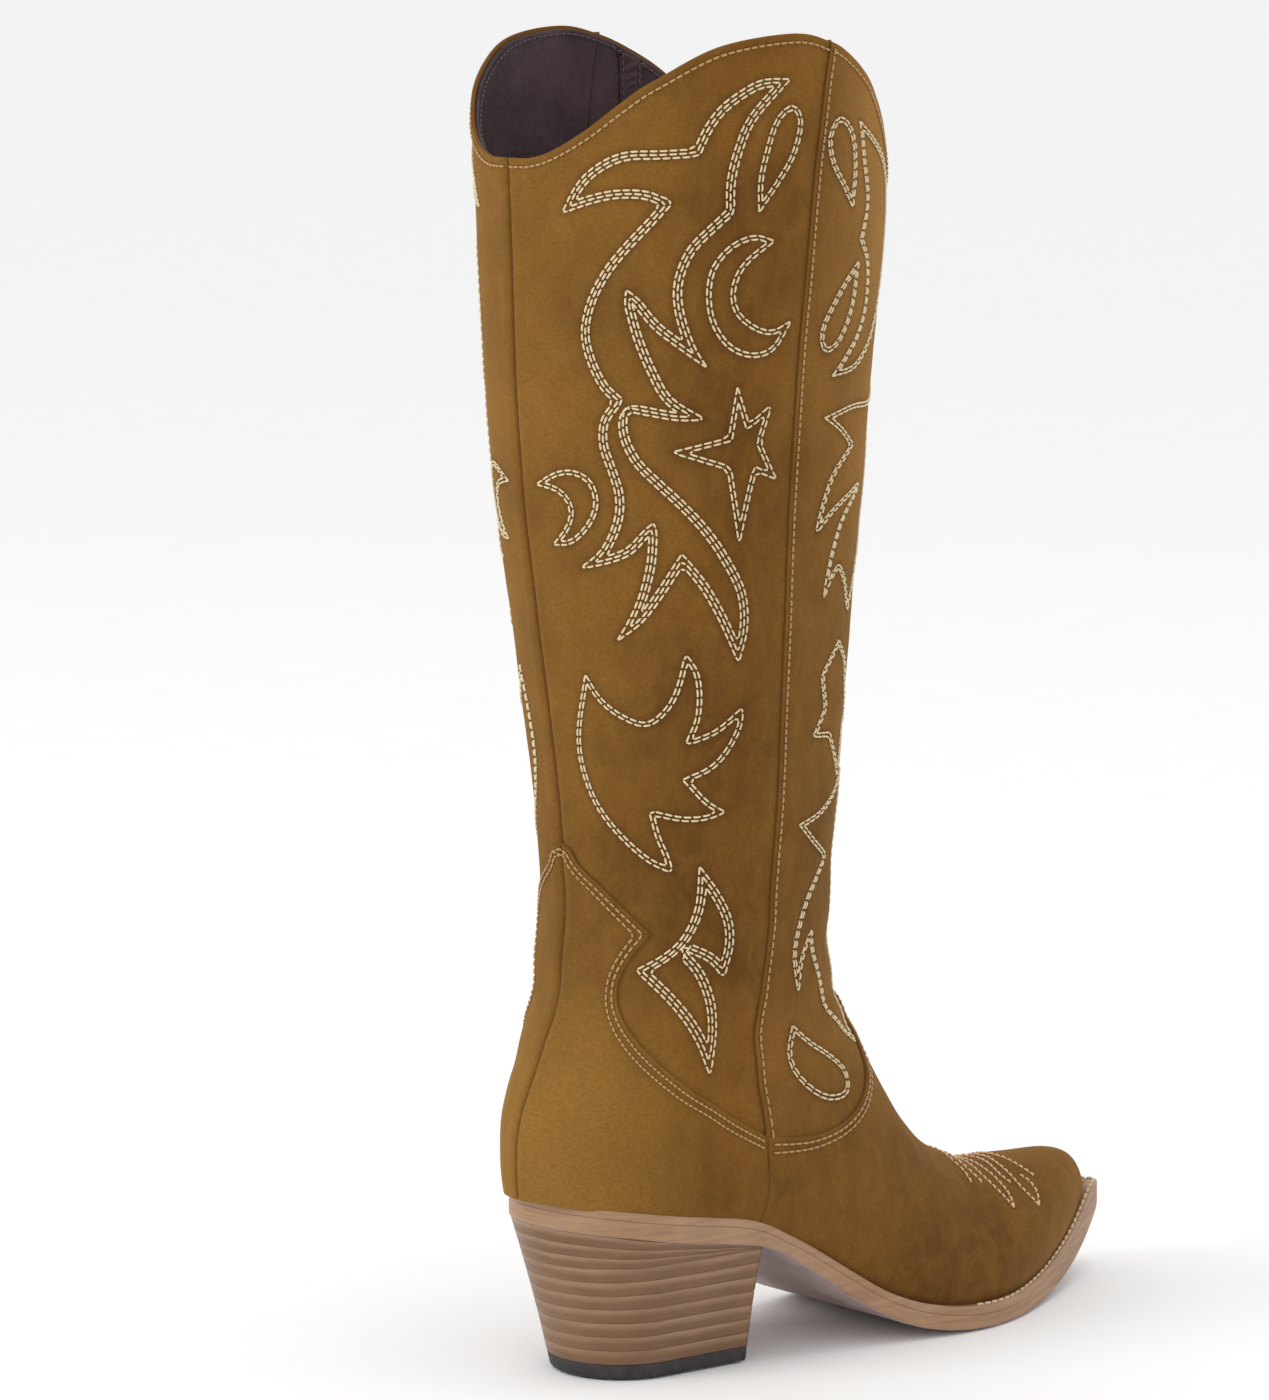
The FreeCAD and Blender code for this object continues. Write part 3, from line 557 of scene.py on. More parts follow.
ZIP_BACK_EDGE = (ZIP_TOP, (65.6, 256), (63.6, 252), (63, 246), (63, 200), (63, 150), (63, 92), (64, 84),
                 CORNER)
ZIP_FRONT_EDGE = (ZIP_TOP, (67.4, 256), (71.6, 252), (73, 246), (73, 200), (73, 150), (73, 90), (71.5, 81),
                  CORNER)


def side_line(points, spacing=LOOP_SPACING):
    """(station, angle) along a smooth line of the side view."""
    return locate(smooth_run(points, spacing))


def straight(a, b, count):
    """count points from a to b."""
    t = np.linspace(0, 1, count)[:, None]
    return np.asarray(a) * (1 - t) + np.asarray(b) * t


side_seam = side_line(SIDE_SEAM)
side_seam[0] = cross_line([side_seam[0, 1]], RIM, 0, 6)[0]
over_zip = side_line(UPPER_SEAM + (ZIP_TOP,))
over_zip[0] = side_seam[0]
zip_back = side_line(ZIP_BACK_EDGE)
zip_front = side_line(ZIP_FRONT_EDGE)
foxing_back = side_line(FOXING_BACK)
foxing_back[0, 1] = 0
foxing_front = side_line(FOXING_FRONT)
vamp_side = side_line(VAMP_SIDE)
vamp_side[-1, 1] = math.pi
corner = vamp_side[0]
seam_foot = locate([SEAM_FOOT])[0]
side_turn = side_seam[0, 1]

rim_back = cross_line(np.linspace(0, side_turn, 90), RIM, 0, 6)
rim_front = cross_line(np.linspace(side_turn, math.pi, 80), RIM, 0, 6)
back_seam = straight(foxing_back[0], rim_back[0], 120)
lower_seam = side_line(LOWER_SEAM)
lower_seam[0], lower_seam[-1] = corner, seam_foot
heel_feather = cross_line(np.linspace(seam_foot[1], 0, 60), FEATHER, 8, 15)
heel_feather[0] = seam_foot
toe_v = np.concatenate([np.linspace(seam_foot[0], 23.5, 120), np.linspace(23.55, LAST - 0.08, 12)])
toe_feather = cross_round(toe_v, FEATHER)
toe_feather[0] = seam_foot

# ------------------------------------------------------------------ leather panels


def soft_noise(points, size, depth=3, seed=0.0):
    """Smooth noise at space points, about -1 to 1, with features of a size in mm."""
    return np.array([noise.fractal(Vector((x / size + seed, y / size - seed, z / size)), 0.6, 2.0, depth)
                     for x, y, z in points])


DEEPEST = -0.95
CLEAR_OF_EDGE = 0.8
MESH_CELL = 0.42
PANEL_PROFILE = ((0.2, -1.3, 0), (0.0, -1.1, 0.1), (0.0, -0.45, 0.8), (0.06, -0.2, 1), (0.22, -0.06, 1),
                 (0.5, 0.0, 1), (1.1, 0.0, 1))


class Panel:
    """A leather panel of the upper: its loop, its rows of sewing and how its surface rises.

    Along the lines in over the leather lies on a lower layer, along those in rolled it is turned in to a
    seam, and along those in tucked it runs under the next panel.
    """

    def __init__(self, name, chart, segments, over=(), rolled=(), tucked=()):
        self.name, self.chart = name, chart
        self.loop = outline(chart, segments)
        self.over, self.rolled, self.tucked = (
            [resample(chart.to(vt), 1.0) for vt in lines] for lines in (over, rolled, tucked))
        self.rows, self.scrolls = [], []

    def base(self, points):
        """Height of the leather above the last, before the sewing pulls it in."""
        points = np.asarray(points, float)
        rise = np.zeros(len(points))
        for line in self.over:
            rise = np.maximum(rise, 0.7 * np.exp(-(distances(points, line) / 8.0) ** 2))
        for line in self.rolled:
            gap = distances(points, line)
            rise += 0.45 * np.exp(-((gap - 3.2) / 2.4) ** 2) - 1.0 * np.exp(-(gap / 0.95) ** 2)
        for line in self.tucked:
            rise -= 0.35 * np.exp(-(distances(points, line) / 1.6) ** 2)
        v, turn = self.chart.back(points)
        spots = surface(v, turn)
        forward = HEEL_CENTRE - spots[:, 1]
        # soft folds across the ankle, a fuller instep, and the leather's own unevenness
        ankle = np.exp(-((spots[:, 2] - 128) / 38) ** 2) * np.clip((v - 2) / 5, 0, 1)
        ankle *= np.exp(-((v - 10) / 4.5) ** 2)
        wave = np.sin(v * 5.2 + 0.9 * np.sin(turn * 2) + forward * 0.02)
        rise += ankle * (0.5 * soft_noise(spots, 16, 2) + 0.35 * wave)
        instep = np.exp(-((forward - 176) / 10) ** 2 - ((turn - math.pi) / 0.55) ** 2)
        rise += 2.0 * instep * (spots[:, 2] > 30)
        rise += 0.28 * soft_noise(spots, 34, 3, 4.0)
        return np.maximum(rise, DEEPEST)

    def top(self, points):
        """Height of the leather with its sewing: pulled in at the holes, and less between them."""
        rise = self.base(points)
        for marks in self.rows:
            for pulled, depth, wide in ((marks[::2], 0.34, 0.6), (marks[1::2], 0.16, 0.55)):
                rise -= depth * np.exp(-(distances(points, pulled) / wide) ** 2)
        return rise

    def sew(self, path, pitch, sewing, radius):
        """A row of stitches along a chart path, kept inside the panel."""
        marks = holes(np.asarray(path, float), pitch)
        inside = inside_polygon(marks, self.loop) & (distances(marks, self.loop) > CLEAR_OF_EDGE)
        if not inside.any():
            return
        starts = np.nonzero(np.diff(np.concatenate([[0], inside.astype(int), [0]])))[0]
        for a, b in zip(starts[::2], starts[1::2]):
            run = marks[a:b]
            if len(run) % 2 == 0:
                run = run[:-1]
            if len(run) >= 3:
                self.rows.append(run)
                if radius == STRAND:
                    self.scrolls.append(run)
                sewing.add(self.chart, run, self.base, radius)

    def edge_rows(self, vt, insets):
        """Rows beside an edge line, on the panel's side of it."""
        line = resample(self.chart.to(vt), 0.8)
        line = np.vstack([line[0] + (line[0] - line[1]) * np.arange(12, 0, -1)[:, None], line,
                          line[-1] + (line[-1] - line[-2]) * np.arange(1, 13)[:, None]])
        probe = line[len(line) // 2] + path_normals(line, False)[len(line) // 2] * 3
        sign = 1 if inside_polygon(probe[None], self.loop)[0] else -1
        for inset in insets:
            self.sew(shrink(line, inset * sign, False), EDGE_PITCH, TAN, EDGE_RADIUS)

    def build(self):
        """The panel's mesh, with extra points along its sewing and seams, at most one in a cell."""
        extra = []
        for marks in self.rows:
            normals = path_normals(marks, False)
            extra += [marks, marks + normals * 0.62, marks - normals * 0.62]
        for line in self.rolled:
            normals = path_normals(line, False)
            extra += [line + normals * away for away in (0, 0.6, -0.6, 1.4, -1.4)]
        keep, taken = [], set()
        for point in np.vstack(extra):
            cell = tuple(np.round(point / MESH_CELL).astype(int).tolist())
            if cell not in taken:
                taken.add(cell)
                keep.append(point)
        extra = np.array(keep)
        # painted shade in the stitch holes and seam grooves: a weight near each row of stitches, strongest
        # round the embroidery, and along the rolled seams
        shaded_lines = ((self.rows, 0.45, 0.6), (self.scrolls, 1.0, 1.0), (self.rolled, 0.6, 1.6))
        return plate(self.name, self.loop, self.chart.place, PANEL_PROFILE, 1.8, 5.0, self.top, extra, 1.05,
                     lambda flat: {"sewn": np.max([
                         share * np.exp(-(distances(flat, np.vstack(lines or [flat[:0]])) / wide) ** 2)
                         for lines, wide, share in shaded_lines], axis=0)})


back_chart = Chart(0.0)
lateral_chart = Chart(math.pi / 2)
front_chart = Chart(math.pi)
medial_chart = Chart(1.5 * math.pi)

panels = {}
panels["lateral"] = Panel(
    "suede_back_lateral", lateral_chart,
    [(back_seam, 0), (rim_back, 0), (side_seam, 1.8), (foxing_front[::-1], 1.8), (foxing_back[::-1], 1.8)],
    rolled=(back_seam,), tucked=(side_seam, foxing_front, foxing_back))
panels["medial"] = Panel(
    "suede_back_medial", medial_chart,
    [(mirror(back_seam), 0), (mirror(rim_back), 0), (mirror(over_zip), 1.8), (mirror(zip_back), 0),
     (mirror(foxing_front[::-1]), 1.8), (mirror(foxing_back[::-1]), 1.8)],
    rolled=(mirror(back_seam),), tucked=(mirror(over_zip), mirror(foxing_front), mirror(foxing_back)))
panels["front"] = Panel(
    "suede_front_shaft", front_chart,
    [(rim_front[::-1], 0), (side_seam, 0), (vamp_side, 1.8), (medial(vamp_side), 1.8),
     (medial(zip_front), 0), (medial(over_zip), 0), (medial(rim_front[::-1]), 0)],
    over=(side_seam, medial(over_zip)), tucked=(vamp_side, mirror(vamp_side)))
panels["foxing"] = Panel(
    "suede_heel_foxing", back_chart,
    [(foxing_front[::-1], 0), (foxing_back[::-1], 0), (behind(medial(foxing_back[::-1])), 0),
     (behind(medial(foxing_front[::-1])), 0), (behind(medial(lower_seam[::-1])), 1.2),
     (behind(mirror(heel_feather)), 1.2), (heel_feather[::-1], 1.2), (lower_seam[::-1], 1.2)],
    over=(foxing_front, foxing_back, behind(medial(foxing_front)), behind(medial(foxing_back))),
    rolled=(straight(foxing_back[0], heel_feather[-1], 60),),
    tucked=(lower_seam, behind(mirror(lower_seam))))
panels["vamp"] = Panel(
    "suede_vamp", front_chart,
    [(vamp_side, 0), (medial(vamp_side), 0), (medial(lower_seam[::-1]), 0), (medial(toe_feather[::-1]), 1.2),
     (straight((toe_feather[-1, 0], 2 * math.pi - toe_feather[-1, 1]), toe_feather[-1], 5), 0),
     (toe_feather[::-1], 1.2), (lower_seam[::-1], 0)],
    over=(vamp_side, medial(vamp_side)))

TAN, CREAM = Sewing(), Sewing()
EDGE_PITCH, EDGE_RADIUS = 2.5, 0.35
foxing_edge = np.vstack([foxing_back, foxing_front[1:]])
vamp_edge = np.vstack([vamp_side, medial(vamp_side)[1:]])


def straight_sides(*corners):
    """Runs for a motif with a straight line between its corners."""
    return tuple((corner,) for corner in corners)


# scroll stitching of the lateral side: for each motif its rows of stitches and its runs of points
# (degrees round from the back seam, height); a run starts where the one before it ends, all the way round
SIDE_MOTIFS = (
    (3, (((78, 415), (72, 412), (66, 407), (62, 401), (59, 394)), ((50, 393.5), (40, 393), (32, 389),
         (26, 383), (21, 374)), ((29, 377), (37, 379), (45, 379), (50, 377)), ((46, 372), (40, 365),
         (34, 357), (29, 347), (27, 337), (29, 328), (33, 320), (37, 316)), ((33, 310), (32.5, 302),
         (35, 294), (37, 286), (36, 278), (31, 269), (23, 263)), ((33, 265), (41, 268), (47, 274)),
         ((46, 265), (43, 255), (39, 247), (34, 240)), ((43, 246), (50, 254), (57, 264)), ((63, 256),
         (69, 245), (75, 232)), ((78, 243), (77, 255), (71, 267), (65, 276), (58, 284), (51, 291),
         (44.5, 298), (41, 306), (41, 313)), ((48, 311.5), (56, 310), (64, 310)), ((54, 317), (49, 326),
         (45, 336), (42, 347)), ((48, 339), (55, 333), (64, 326)), ((60, 333), (56.5, 344), (56, 353),
         (59, 362), (65, 369), (70, 374)), ((70, 383), (72, 393), (76, 403), (86, 415)))),
    (2, (((77, 384), (79, 394), (82, 403), (87, 407), (90, 402), (88, 392), (83, 383), (77, 374)),)),
    (2, (((76, 367), (69, 364), (64, 357), (63, 348), (65, 339), (70, 332), (77, 329), (84, 331),
         (89, 340)), ((83, 337), (77, 339), (72, 344), (71, 351), (74, 358), (82, 365)))),
    (2, straight_sides(
        (77, 308), (84, 314), (81, 302), (87, 290), (80, 293), (75, 270), (71, 294), (54, 300), (71, 304),
        (73, 320))),
    (2, (((16, 293), (23, 294), (29, 291), (31, 284), (28, 277), (21, 271), (13, 270)), ((19, 276),
         (21, 282), (17, 287), (8, 289)))),
    (2, (((27, 221), (35, 216), (43, 214), (50, 219), (54, 226), (57, 236)), ((61, 230), (62, 222),
         (61, 214), (58, 208)), ((67, 211), (77, 218)), ((76, 211), (71, 203), (65, 198), (57, 195)),
         ((64, 188), (71, 184)), ((63, 182), (54, 182), (44, 184)), ((46, 177), (49, 171), (51, 165)),
         ((41, 169), (30, 177), (21, 186), (16, 196), (14.5, 205), (16, 214), (21, 229)))),
    (3, (((69, 158), (74.5, 149), (76, 140), (74, 130)), ((67, 136), (57, 140)), ((65, 133), (71, 123),
         (74.5, 111), (75, 99)), ((67, 111), (54, 123), (38, 134)), ((47, 138), (55, 144), (60, 154),
         (61, 167)))),
)
# half of the front panel's stitching, mirrored about its middle
FRONT_MOTIFS = (
    (2, (((106, 381), (101, 388), (99, 396), (102, 402), (106, 402), (110, 397), (112, 387), (111, 374)),)),
    (2, (((116, 388), (119, 376), (118, 369), (116, 364)), ((122, 355), (123, 343), (119, 333),
         (107, 321)), ((120, 323), (132, 332), (140, 346), (143, 361), (140, 376), (131, 389), (113, 401)))),
    (2, (((108, 349), (101, 338), (101, 331), (105, 329), (111, 334), (115, 344), (116, 357)),)),
    (2, (((120, 311), (138, 311), (154, 317)), ((150, 300), (147, 280), (142, 262), (131, 243)),
         ((125, 253), (119, 259)), ((114, 255), (110, 249)), ((113, 263), (119, 275), (130, 284)),
         ((114, 278), (104, 271)), ((106, 279), (111, 290), (121, 298)), ((114, 303), (105, 308)))),
    (2, straight_sides(
        (112, 225), (116, 214), (109, 205), (121, 204), (134, 189), (138, 206), (150, 208), (139, 217),
        (133, 228), (124, 235))),
    (2, (((118, 180), (131, 185), (143, 192)), ((150, 172), (151, 150), (149, 122), (151, 97)),
         ((133, 111), (124, 127), (118, 139)), ((113, 131), (110, 121)), ((107, 138), (112, 152),
         (126, 164)), ((114, 170), (104, 177)))),
    (2, (((105, 102), (109, 92), (118, 84), (128, 84), (132, 91), (126, 98), (117, 104), (108, 111)),)),
)
ROW_GAP = 1.15
STITCH, STRAND = 3.0, 0.34
MM_PER_DEGREE = 0.85
NEAR = 0.93


def motif_path(runs):
    """One closed path in degrees and height, smooth along each run and pointed between runs."""
    scale = np.array((MM_PER_DEGREE, 1))
    path = []
    for before, run in zip(runs[-1:] + runs[:-1], runs):
        path.append(smooth_run(np.array(before[-1:] + run) * scale, 0.8)[:-1] / scale)
    return np.vstack(path + [path[0][:1]])


def embroider(panel, runs, rows, mirrored):
    """Sews a motif: its outline and further rows inside it."""
    vt = at_height(motif_path(runs))
    path = panel.chart.to(medial(vt) if mirrored else vt)
    sign = 1 if runs_left(path) else -1
    for k in range(rows):
        row = shrink(path[:-1], sign * ROW_GAP * k, True)
        if len(row) > 3:
            panel.sew(row, STITCH, CREAM, STRAND)


def shrink(path, amount, closed):
    """A path moved sideways, with the points that end up too near the first path left out."""
    if amount:
        moved = path + path_normals(path, closed) * amount
        path = moved[distances(moved, path) > abs(amount) * NEAR]
    return np.vstack([path, path[:1]]) if closed else path


for key, line, insets in (("lateral", rim_back, (2.7,)), ("front", rim_front, (2.7,)),
                          ("front", medial(rim_front), (2.7,)), ("medial", medial(rim_back), (2.7,)),
                          ("front", side_seam, (1.7,)),
                          ("front", medial(np.vstack([over_zip[:-1], zip_front])), (1.9,)),
                          ("medial", medial(zip_back), (2.2,)), ("foxing", foxing_edge, (1.8, 3.7)),
                          ("foxing", behind(medial(foxing_edge)), (1.8, 3.7)),
                          ("vamp", vamp_edge, (1.7, 3.6))):
    panels[key].edge_rows(line, insets)

for rows, runs in SIDE_MOTIFS:
    embroider(panels["lateral"], runs, rows, False)
    embroider(panels["medial"], runs, rows, True)
for rows, runs in FRONT_MOTIFS:
    embroider(panels["front"], runs, rows, False)
    embroider(panels["front"], runs, rows, True)

# toe stitching: rows over the ridge that meet in points down each side: (forward, degrees from the back)
TOE_ROWS = (((173.5, 180), (172.5, 165), (174, 156), (173, 148)),
            ((178.5, 180), (177, 166), (178, 157), (179, 150)),
            ((186, 180), (184, 166), (183, 156), (184, 146), (186, 134)),
            ((190, 180), (189, 164), (188.5, 151), (188, 143), (186, 134)),
            ((196, 180), (193.5, 163), (192.5, 156), (193.5, 150)),
            ((200, 180), (198, 167), (196.5, 152), (197, 143), (200, 132)),
            ((201, 155), (203, 148), (203, 140), (200, 132)),
            ((204, 180), (205, 166), (206, 158), (207.5, 151)))


def vamp_line(row):
    """(station, angle) of (forward, degrees from the back) on the vamp."""
    forward, turns = np.asarray(row, float).T * ((1,), (math.pi / 180,))
    v = halving(len(row), 9, LAST, lambda v: HEEL_CENTRE - surface(v, turns)[:, 1] > forward)
    return np.stack([v, turns], 1)


PEACH = Sewing()
for row in TOE_ROWS:
    vt = vamp_line(row)
    over_ridge = row[0][1] == 180
    for line in (np.vstack([vt[::-1], mirror(vt)[1:]]),) if over_ridge else (vt, mirror(vt)):
        panels["vamp"].sew(smooth_run(front_chart.to(line), 0.8), 2.6, PEACH, 0.4)

uppers = [panel.build() for panel in panels.values()]
for piece, node in zip(uppers, ("back_panel_lateral", "back_panel_medial", "front_shaft_panel",
                                "heel_foxing", "vamp")):
    stand_in(piece, node)
embroidery = CREAM.build("embroidery_thread")
topstitch = TAN.build("seam_thread")
toe_stitch = PEACH.build("toe_thread")

# ------------------------------------------------------------------ linings


LEATHER = 1.42


class Inside(Chart):
    """The same chart seen from within: heights grow into the boot from the back of the leather.

    Below the ankle, past station 9, a stiffener adds up to 1 mm to the leather.
    """

    sign = -1

    def __init__(self, centre, lift=0.0):
        super().__init__(centre)
        self.lift = lift

    def place(self, xy, heights):
        v, turn = self.back(xy)
        depth = LEATHER + np.clip((v - 9) / 2, 0, 1) + self.lift
        return surface(v, turn) - surface_normal(v, turn) * (depth + np.asarray(heights))[:, None]


def soft_lining(chart, amount):
    """A lining's height: it stands off softly, less so near the rim."""
    def top(points):
        v, turn = chart.back(points)
        rise = 0.5 + 0.5 * soft_noise(surface(v, turn), 22, 3, 2.0)
        return np.clip(amount * rise * np.clip(v / 1.5 - 0.55, 0, 1), -0.6, 2.2)
    return top


LINING_PROFILE = ((0.2, 0.02, 0), (0.0, 0.12, 0), (0.0, 0.75, 0.7), (0.12, 1.02, 1), (0.4, 1.15, 1),
                  (1.2, 1.2, 1))


def lining(name, chart, segments, cad, top, spacing=2.4, profile=LINING_PROFILE):
    """A lining over the loop of its segments, in the place of a CAD node."""
    piece = plate(name, outline(chart, segments), chart.place, profile, spacing, 6.0, top)
    return stand_in(piece, cad)


in_back, in_side, in_front, in_medial = (Inside(c) for c in (0.0, math.pi / 2, math.pi, 1.5 * math.pi))
HEEL_TOP_V = 10.0
seam_down = side_line(INNER_SEAM)
inner_rim_back, inner_rim_front = (
    cross_line(line[:, 1], lambda forward: RIM(forward) - 1.2, 0, 6) for line in (rim_back, rim_front))
seam_down[0] = inner_rim_front[0]
seam_end = seam_down[-1]
back_low = straight((HEEL_TOP_V, 0), inner_rim_back[0], 100)
low_edge = straight(seam_end, (HEEL_TOP_V, 0), 60)
heel_side = straight(seam_end, seam_foot, 40)
vamp_in = np.vstack([straight(seam_end, vamp_side[14], 12)[:-1], vamp_side[14:]])
toe_in = toe_feather[:111]
toe_end = straight(mirror(toe_in[-1:])[0], toe_in[-1], 12)
linings = [
    lining("lining_%s_leather" % side, chart,
           [(line if chart is in_side else mirror(line), 0)
            for line in (back_low, inner_rim_back, seam_down, low_edge)],
           "lining_back_" + side, soft_lining(chart, 0.8))
    for side, chart in (("lateral", in_side), ("medial", in_medial))
] + [
    lining("lining_front_leather", in_front,
           [(inner_rim_front[::-1], 0), (seam_down, 0), (vamp_in, 0), (medial(vamp_in), 0),
            (medial(seam_down), 0), (mirror(inner_rim_front), 0)],
           "lining_front", soft_lining(in_front, 0.8)),
    lining("lining_heel_leather", in_back,
           [(low_edge, 0), (behind(medial(low_edge)), 0), (behind(mirror(heel_side)), 0),
            (behind(mirror(heel_feather)), -0.5), (heel_feather[::-1], -0.5), (heel_side[::-1], 0)],
           "heel_lining", soft_lining(in_back, 0.3), 3.0),
    lining("lining_vamp_leather", in_front,
           [(vamp_in, 0), (medial(vamp_in), 0), (mirror(heel_side), 0), (mirror(toe_in), -0.5), (toe_end, 0),
            (toe_in[::-1], -0.5), (heel_side[::-1], 0)], "vamp_lining", soft_lining(in_front, 0.3), 3.0),
]

# the strip over the lining's medial seam, gathered between its two rows of sewing
on_lining = Inside(1.5 * math.pi, 1.25)
THIN_PROFILE = tuple((inset, height * 0.62, share) for inset, height, share in LINING_PROFILE)


STRIP_FOOT = 257


def strip_line(forward, high):
    """An edge of the strip, from its foot up to 3 mm below the rim."""
    run = side_line([(forward, z) for z in (STRIP_FOOT, (STRIP_FOOT + high) / 2, high)], 1.5)
    run[-1] = cross_line([run[-1, 1]], lambda f: RIM(f) - 3.0, 0, 6)[0]
    return mirror(run)


def strip_sides(front, back, count):
    """The segments of a strip between two edges that run upwards."""
    return [(front, 0), (straight(front[-1], back[-1], count), 0), (back[::-1], 0),
            (straight(back[0], front[0], count), 0)]


strip_front, strip_back = strip_line(91.0, 419.3), strip_line(83.0, 423.4)
strip_edges = [resample(on_lining.to(vt), 1.0) for vt in (strip_front, strip_back)]


def gathered(points):
    """The strip's height: puckered between its two edges, flat along them."""
    gap = np.minimum(distances(points, strip_edges[0]), distances(points, strip_edges[1]))
    swell = np.clip((gap - 0.9) / 2.2, 0, 1)
    along = points[:, 1] + 0.8 * np.sin(points[:, 0] * 0.9)
    return swell * (0.3 + 0.45 * np.sin(along * 2 * math.pi / 2.6 + 1.3 * np.sin(along * 0.37)))


linings.append(lining("lining_strip_leather", on_lining, strip_sides(strip_front, strip_back, 8),
                      "lining_seam_strip", gathered, 1.0, THIN_PROFILE))
guard_lines = [mirror(side_line(((f, 84), (f, 168), (f, 250)), 2.0)) for f in (57.0, 79.0)]
linings.append(lining("zip_guard_leather", on_lining, strip_sides(*guard_lines, 12), "zip_guard",
                      lambda points: 0.25 * np.sin(points[:, 1] * 0.21), 2.4, THIN_PROFILE))

# sewing seen inside the shaft: round the rim and along both edges of the strip
INNER = Sewing()


def inner_row(chart, vt, offset, lift):
    """A row of fine stitches beside a line, on the inside."""
    line = resample(chart.to(vt), 1.5)
    line = line + path_normals(line, False) * offset
    INNER.add(chart, holes(line, EDGE_PITCH), lambda pins: np.full(len(pins), lift), 0.24)


for chart, vt in ((in_side, rim_back), (in_front, rim_front), (in_front, mirror(rim_front)),
                  (in_medial, mirror(rim_back))):
    line = chart.to(vt)
    inner_row(chart, vt, -2.7 if line[-1, 0] > line[0, 0] else 2.7, 1.45)
inner_row(on_lining, strip_front, -1.0, 0.72)
inner_row(on_lining, strip_back, 1.0, 0.72)

# ------------------------------------------------------------------ sole

LATERAL_EDGE = ((0, 0), (2, -11), (9, -21.5), (20, -28.3), (34, -32), (50, -33.6), (72, -33.8), (95, -34),
                (115, -36), (135, -40), (152, -42.5), (166, -42), (180, -38.5), (196, -31.5), (212, -23.5),
                (228, -14.8), (243, -5.6), (254, 1.6), (258.6, 5.6))
TOE_TIP = ((258.6, 5.6), (259.6, 7.2), (258.6, 9))
MEDIAL_EDGE = ((258.6, 9), (255.5, 12), (247, 17), (235, 22.6), (218, 29.4), (200, 35.2), (182, 39.6),
               (165, 41), (148, 39.5), (130, 36), (112, 33), (95, 32.5), (72, 33.4), (50, 33.4), (34, 32),
               (20, 28.3), (9, 21.5), (2, 11), (0, 0))


def sole_outline():
    """The sole seen from above, closed at the toe and the heel, as (x, y) points 1.6 mm apart."""
    loop = LATERAL_EDGE[:-1] + TOE_TIP + MEDIAL_EDGE[1:-1]
    wrapped = loop[-3:] + loop + loop[:4]
    run = smooth_run(wrapped, 0.4)
    gap = np.linalg.norm(run - np.array(loop[0]), axis=1)
    half = len(run) // 2
    run = resample(run[int(np.argmin(gap[:half])):half + int(np.argmin(gap[half:])) + 1], 1.6)[:-1]
    return np.stack([run[:, 1], HEEL_CENTRE - run[:, 0]], 1)


WELT_THICKNESS = 3.0
edge_loop = counter_clockwise(sole_outline())
edge_loop = edge_loop + path_normals(edge_loop, True) * 0.45 * np.clip(
    (edge_loop[:, 1] - HEEL_CENTRE + 90) / 20, 0, 1)[:, None]


def layered(low, high):
    """Places plan points between two height lines: 0 is the lower, 1 the upper."""
    def place(xy, share):
        forward = HEEL_CENTRE - xy[:, 1]
        share = np.asarray(share)
        return np.stack([xy[:, 0], xy[:, 1], low(forward) * (1 - share) + high(forward) * share], 1)
    return place


def under_welt(forward):
    """The height of the line between the outsole and the welt."""
    return SOLE_TOP(forward) - WELT_THICKNESS


outsole = plate("outsole_leather", edge_loop, layered(UNDERSIDE, under_welt),
                ((1.5, 0, 0), (0.7, 0.008, 0), (0.22, 0.05, 0), (0.03, 0.13, 0), (0, 0.28, 0), (0, 0.50, 0),
                 (0.08, 0.54, 0), (0.0, 0.58, 0), (0, 0.72, 0), (0.03, 0.93, 0), (0.14, 1, 0)), 4.0, 2.5)
stand_in(outsole, "outsole")

edge_normals = path_normals(edge_loop, True)
SOLE_CENTRE = np.array((1, HEEL_CENTRE - 128))
inner_loop = (edge_loop - SOLE_CENTRE) * (0.80, 0.93) + SOLE_CENTRE
in_welt = layered(under_welt, SOLE_TOP)
welt_rings = [in_welt(edge_loop + edge_normals * inset, np.full(len(edge_loop), share))
              for inset, share in ((0.3, 0.0), (0.08, 0.05), (0.02, 0.2), (0.02, 0.5), (0.05, 0.7),
                                   (0.16, 0.86), (0.45, 0.97), (0.9, 1.0), (2.2, 0.98), (3.6, 0.96))]
welt_rings += [in_welt(inner_loop, np.full(len(edge_loop), share)) for share in (0.9, 0.02)]
welt = band("welt_leather", welt_rings, closed=True)
stand_in(welt, "welt")

# sewing on top of the welt, from the ball round the toe
BALL = 157
WELT_SEWING = Sewing()
walk = edge_loop + edge_normals * 1.35
walk = resample(np.vstack([walk, walk[:1]]), 0.8)
marks = holes(walk[HEEL_CENTRE - walk[:, 1] > BALL], 3.6)[::2]
pins = in_welt(marks, np.ones(len(marks)))
WELT_SEWING.ends.append((pins[:-1], pins[1:]))
WELT_SEWING.normals.append(np.tile((0.0, 0.0, 1.0), (len(pins) - 1, 1)))
WELT_SEWING.sizes.append(0.5)
welt_thread = WELT_SEWING.build("welt_thread")
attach(welt_thread, "boot")

# ------------------------------------------------------------------ heel stack


def heel_corners(radius, back, breast, half):
    """The outline of the heel: a half round at the back, straight sides and a straight breast."""
    turns = np.linspace(math.pi, 0, 45)
    forward = back + radius - radius * np.sin(turns)
    side = radius * np.cos(turns)
    arc = np.stack([side, forward], 1)
    loop = np.vstack([arc, straight((radius, back + radius), (half, breast), 22)[1:],
                      straight((half, breast), (-half, breast), 24)[1:],
                      straight((-half, breast), (-radius, back + radius), 22)[1:-1]])
    return np.stack([loop[:, 0], HEEL_CENTRE - loop[:, 1]], 1)[::-1]


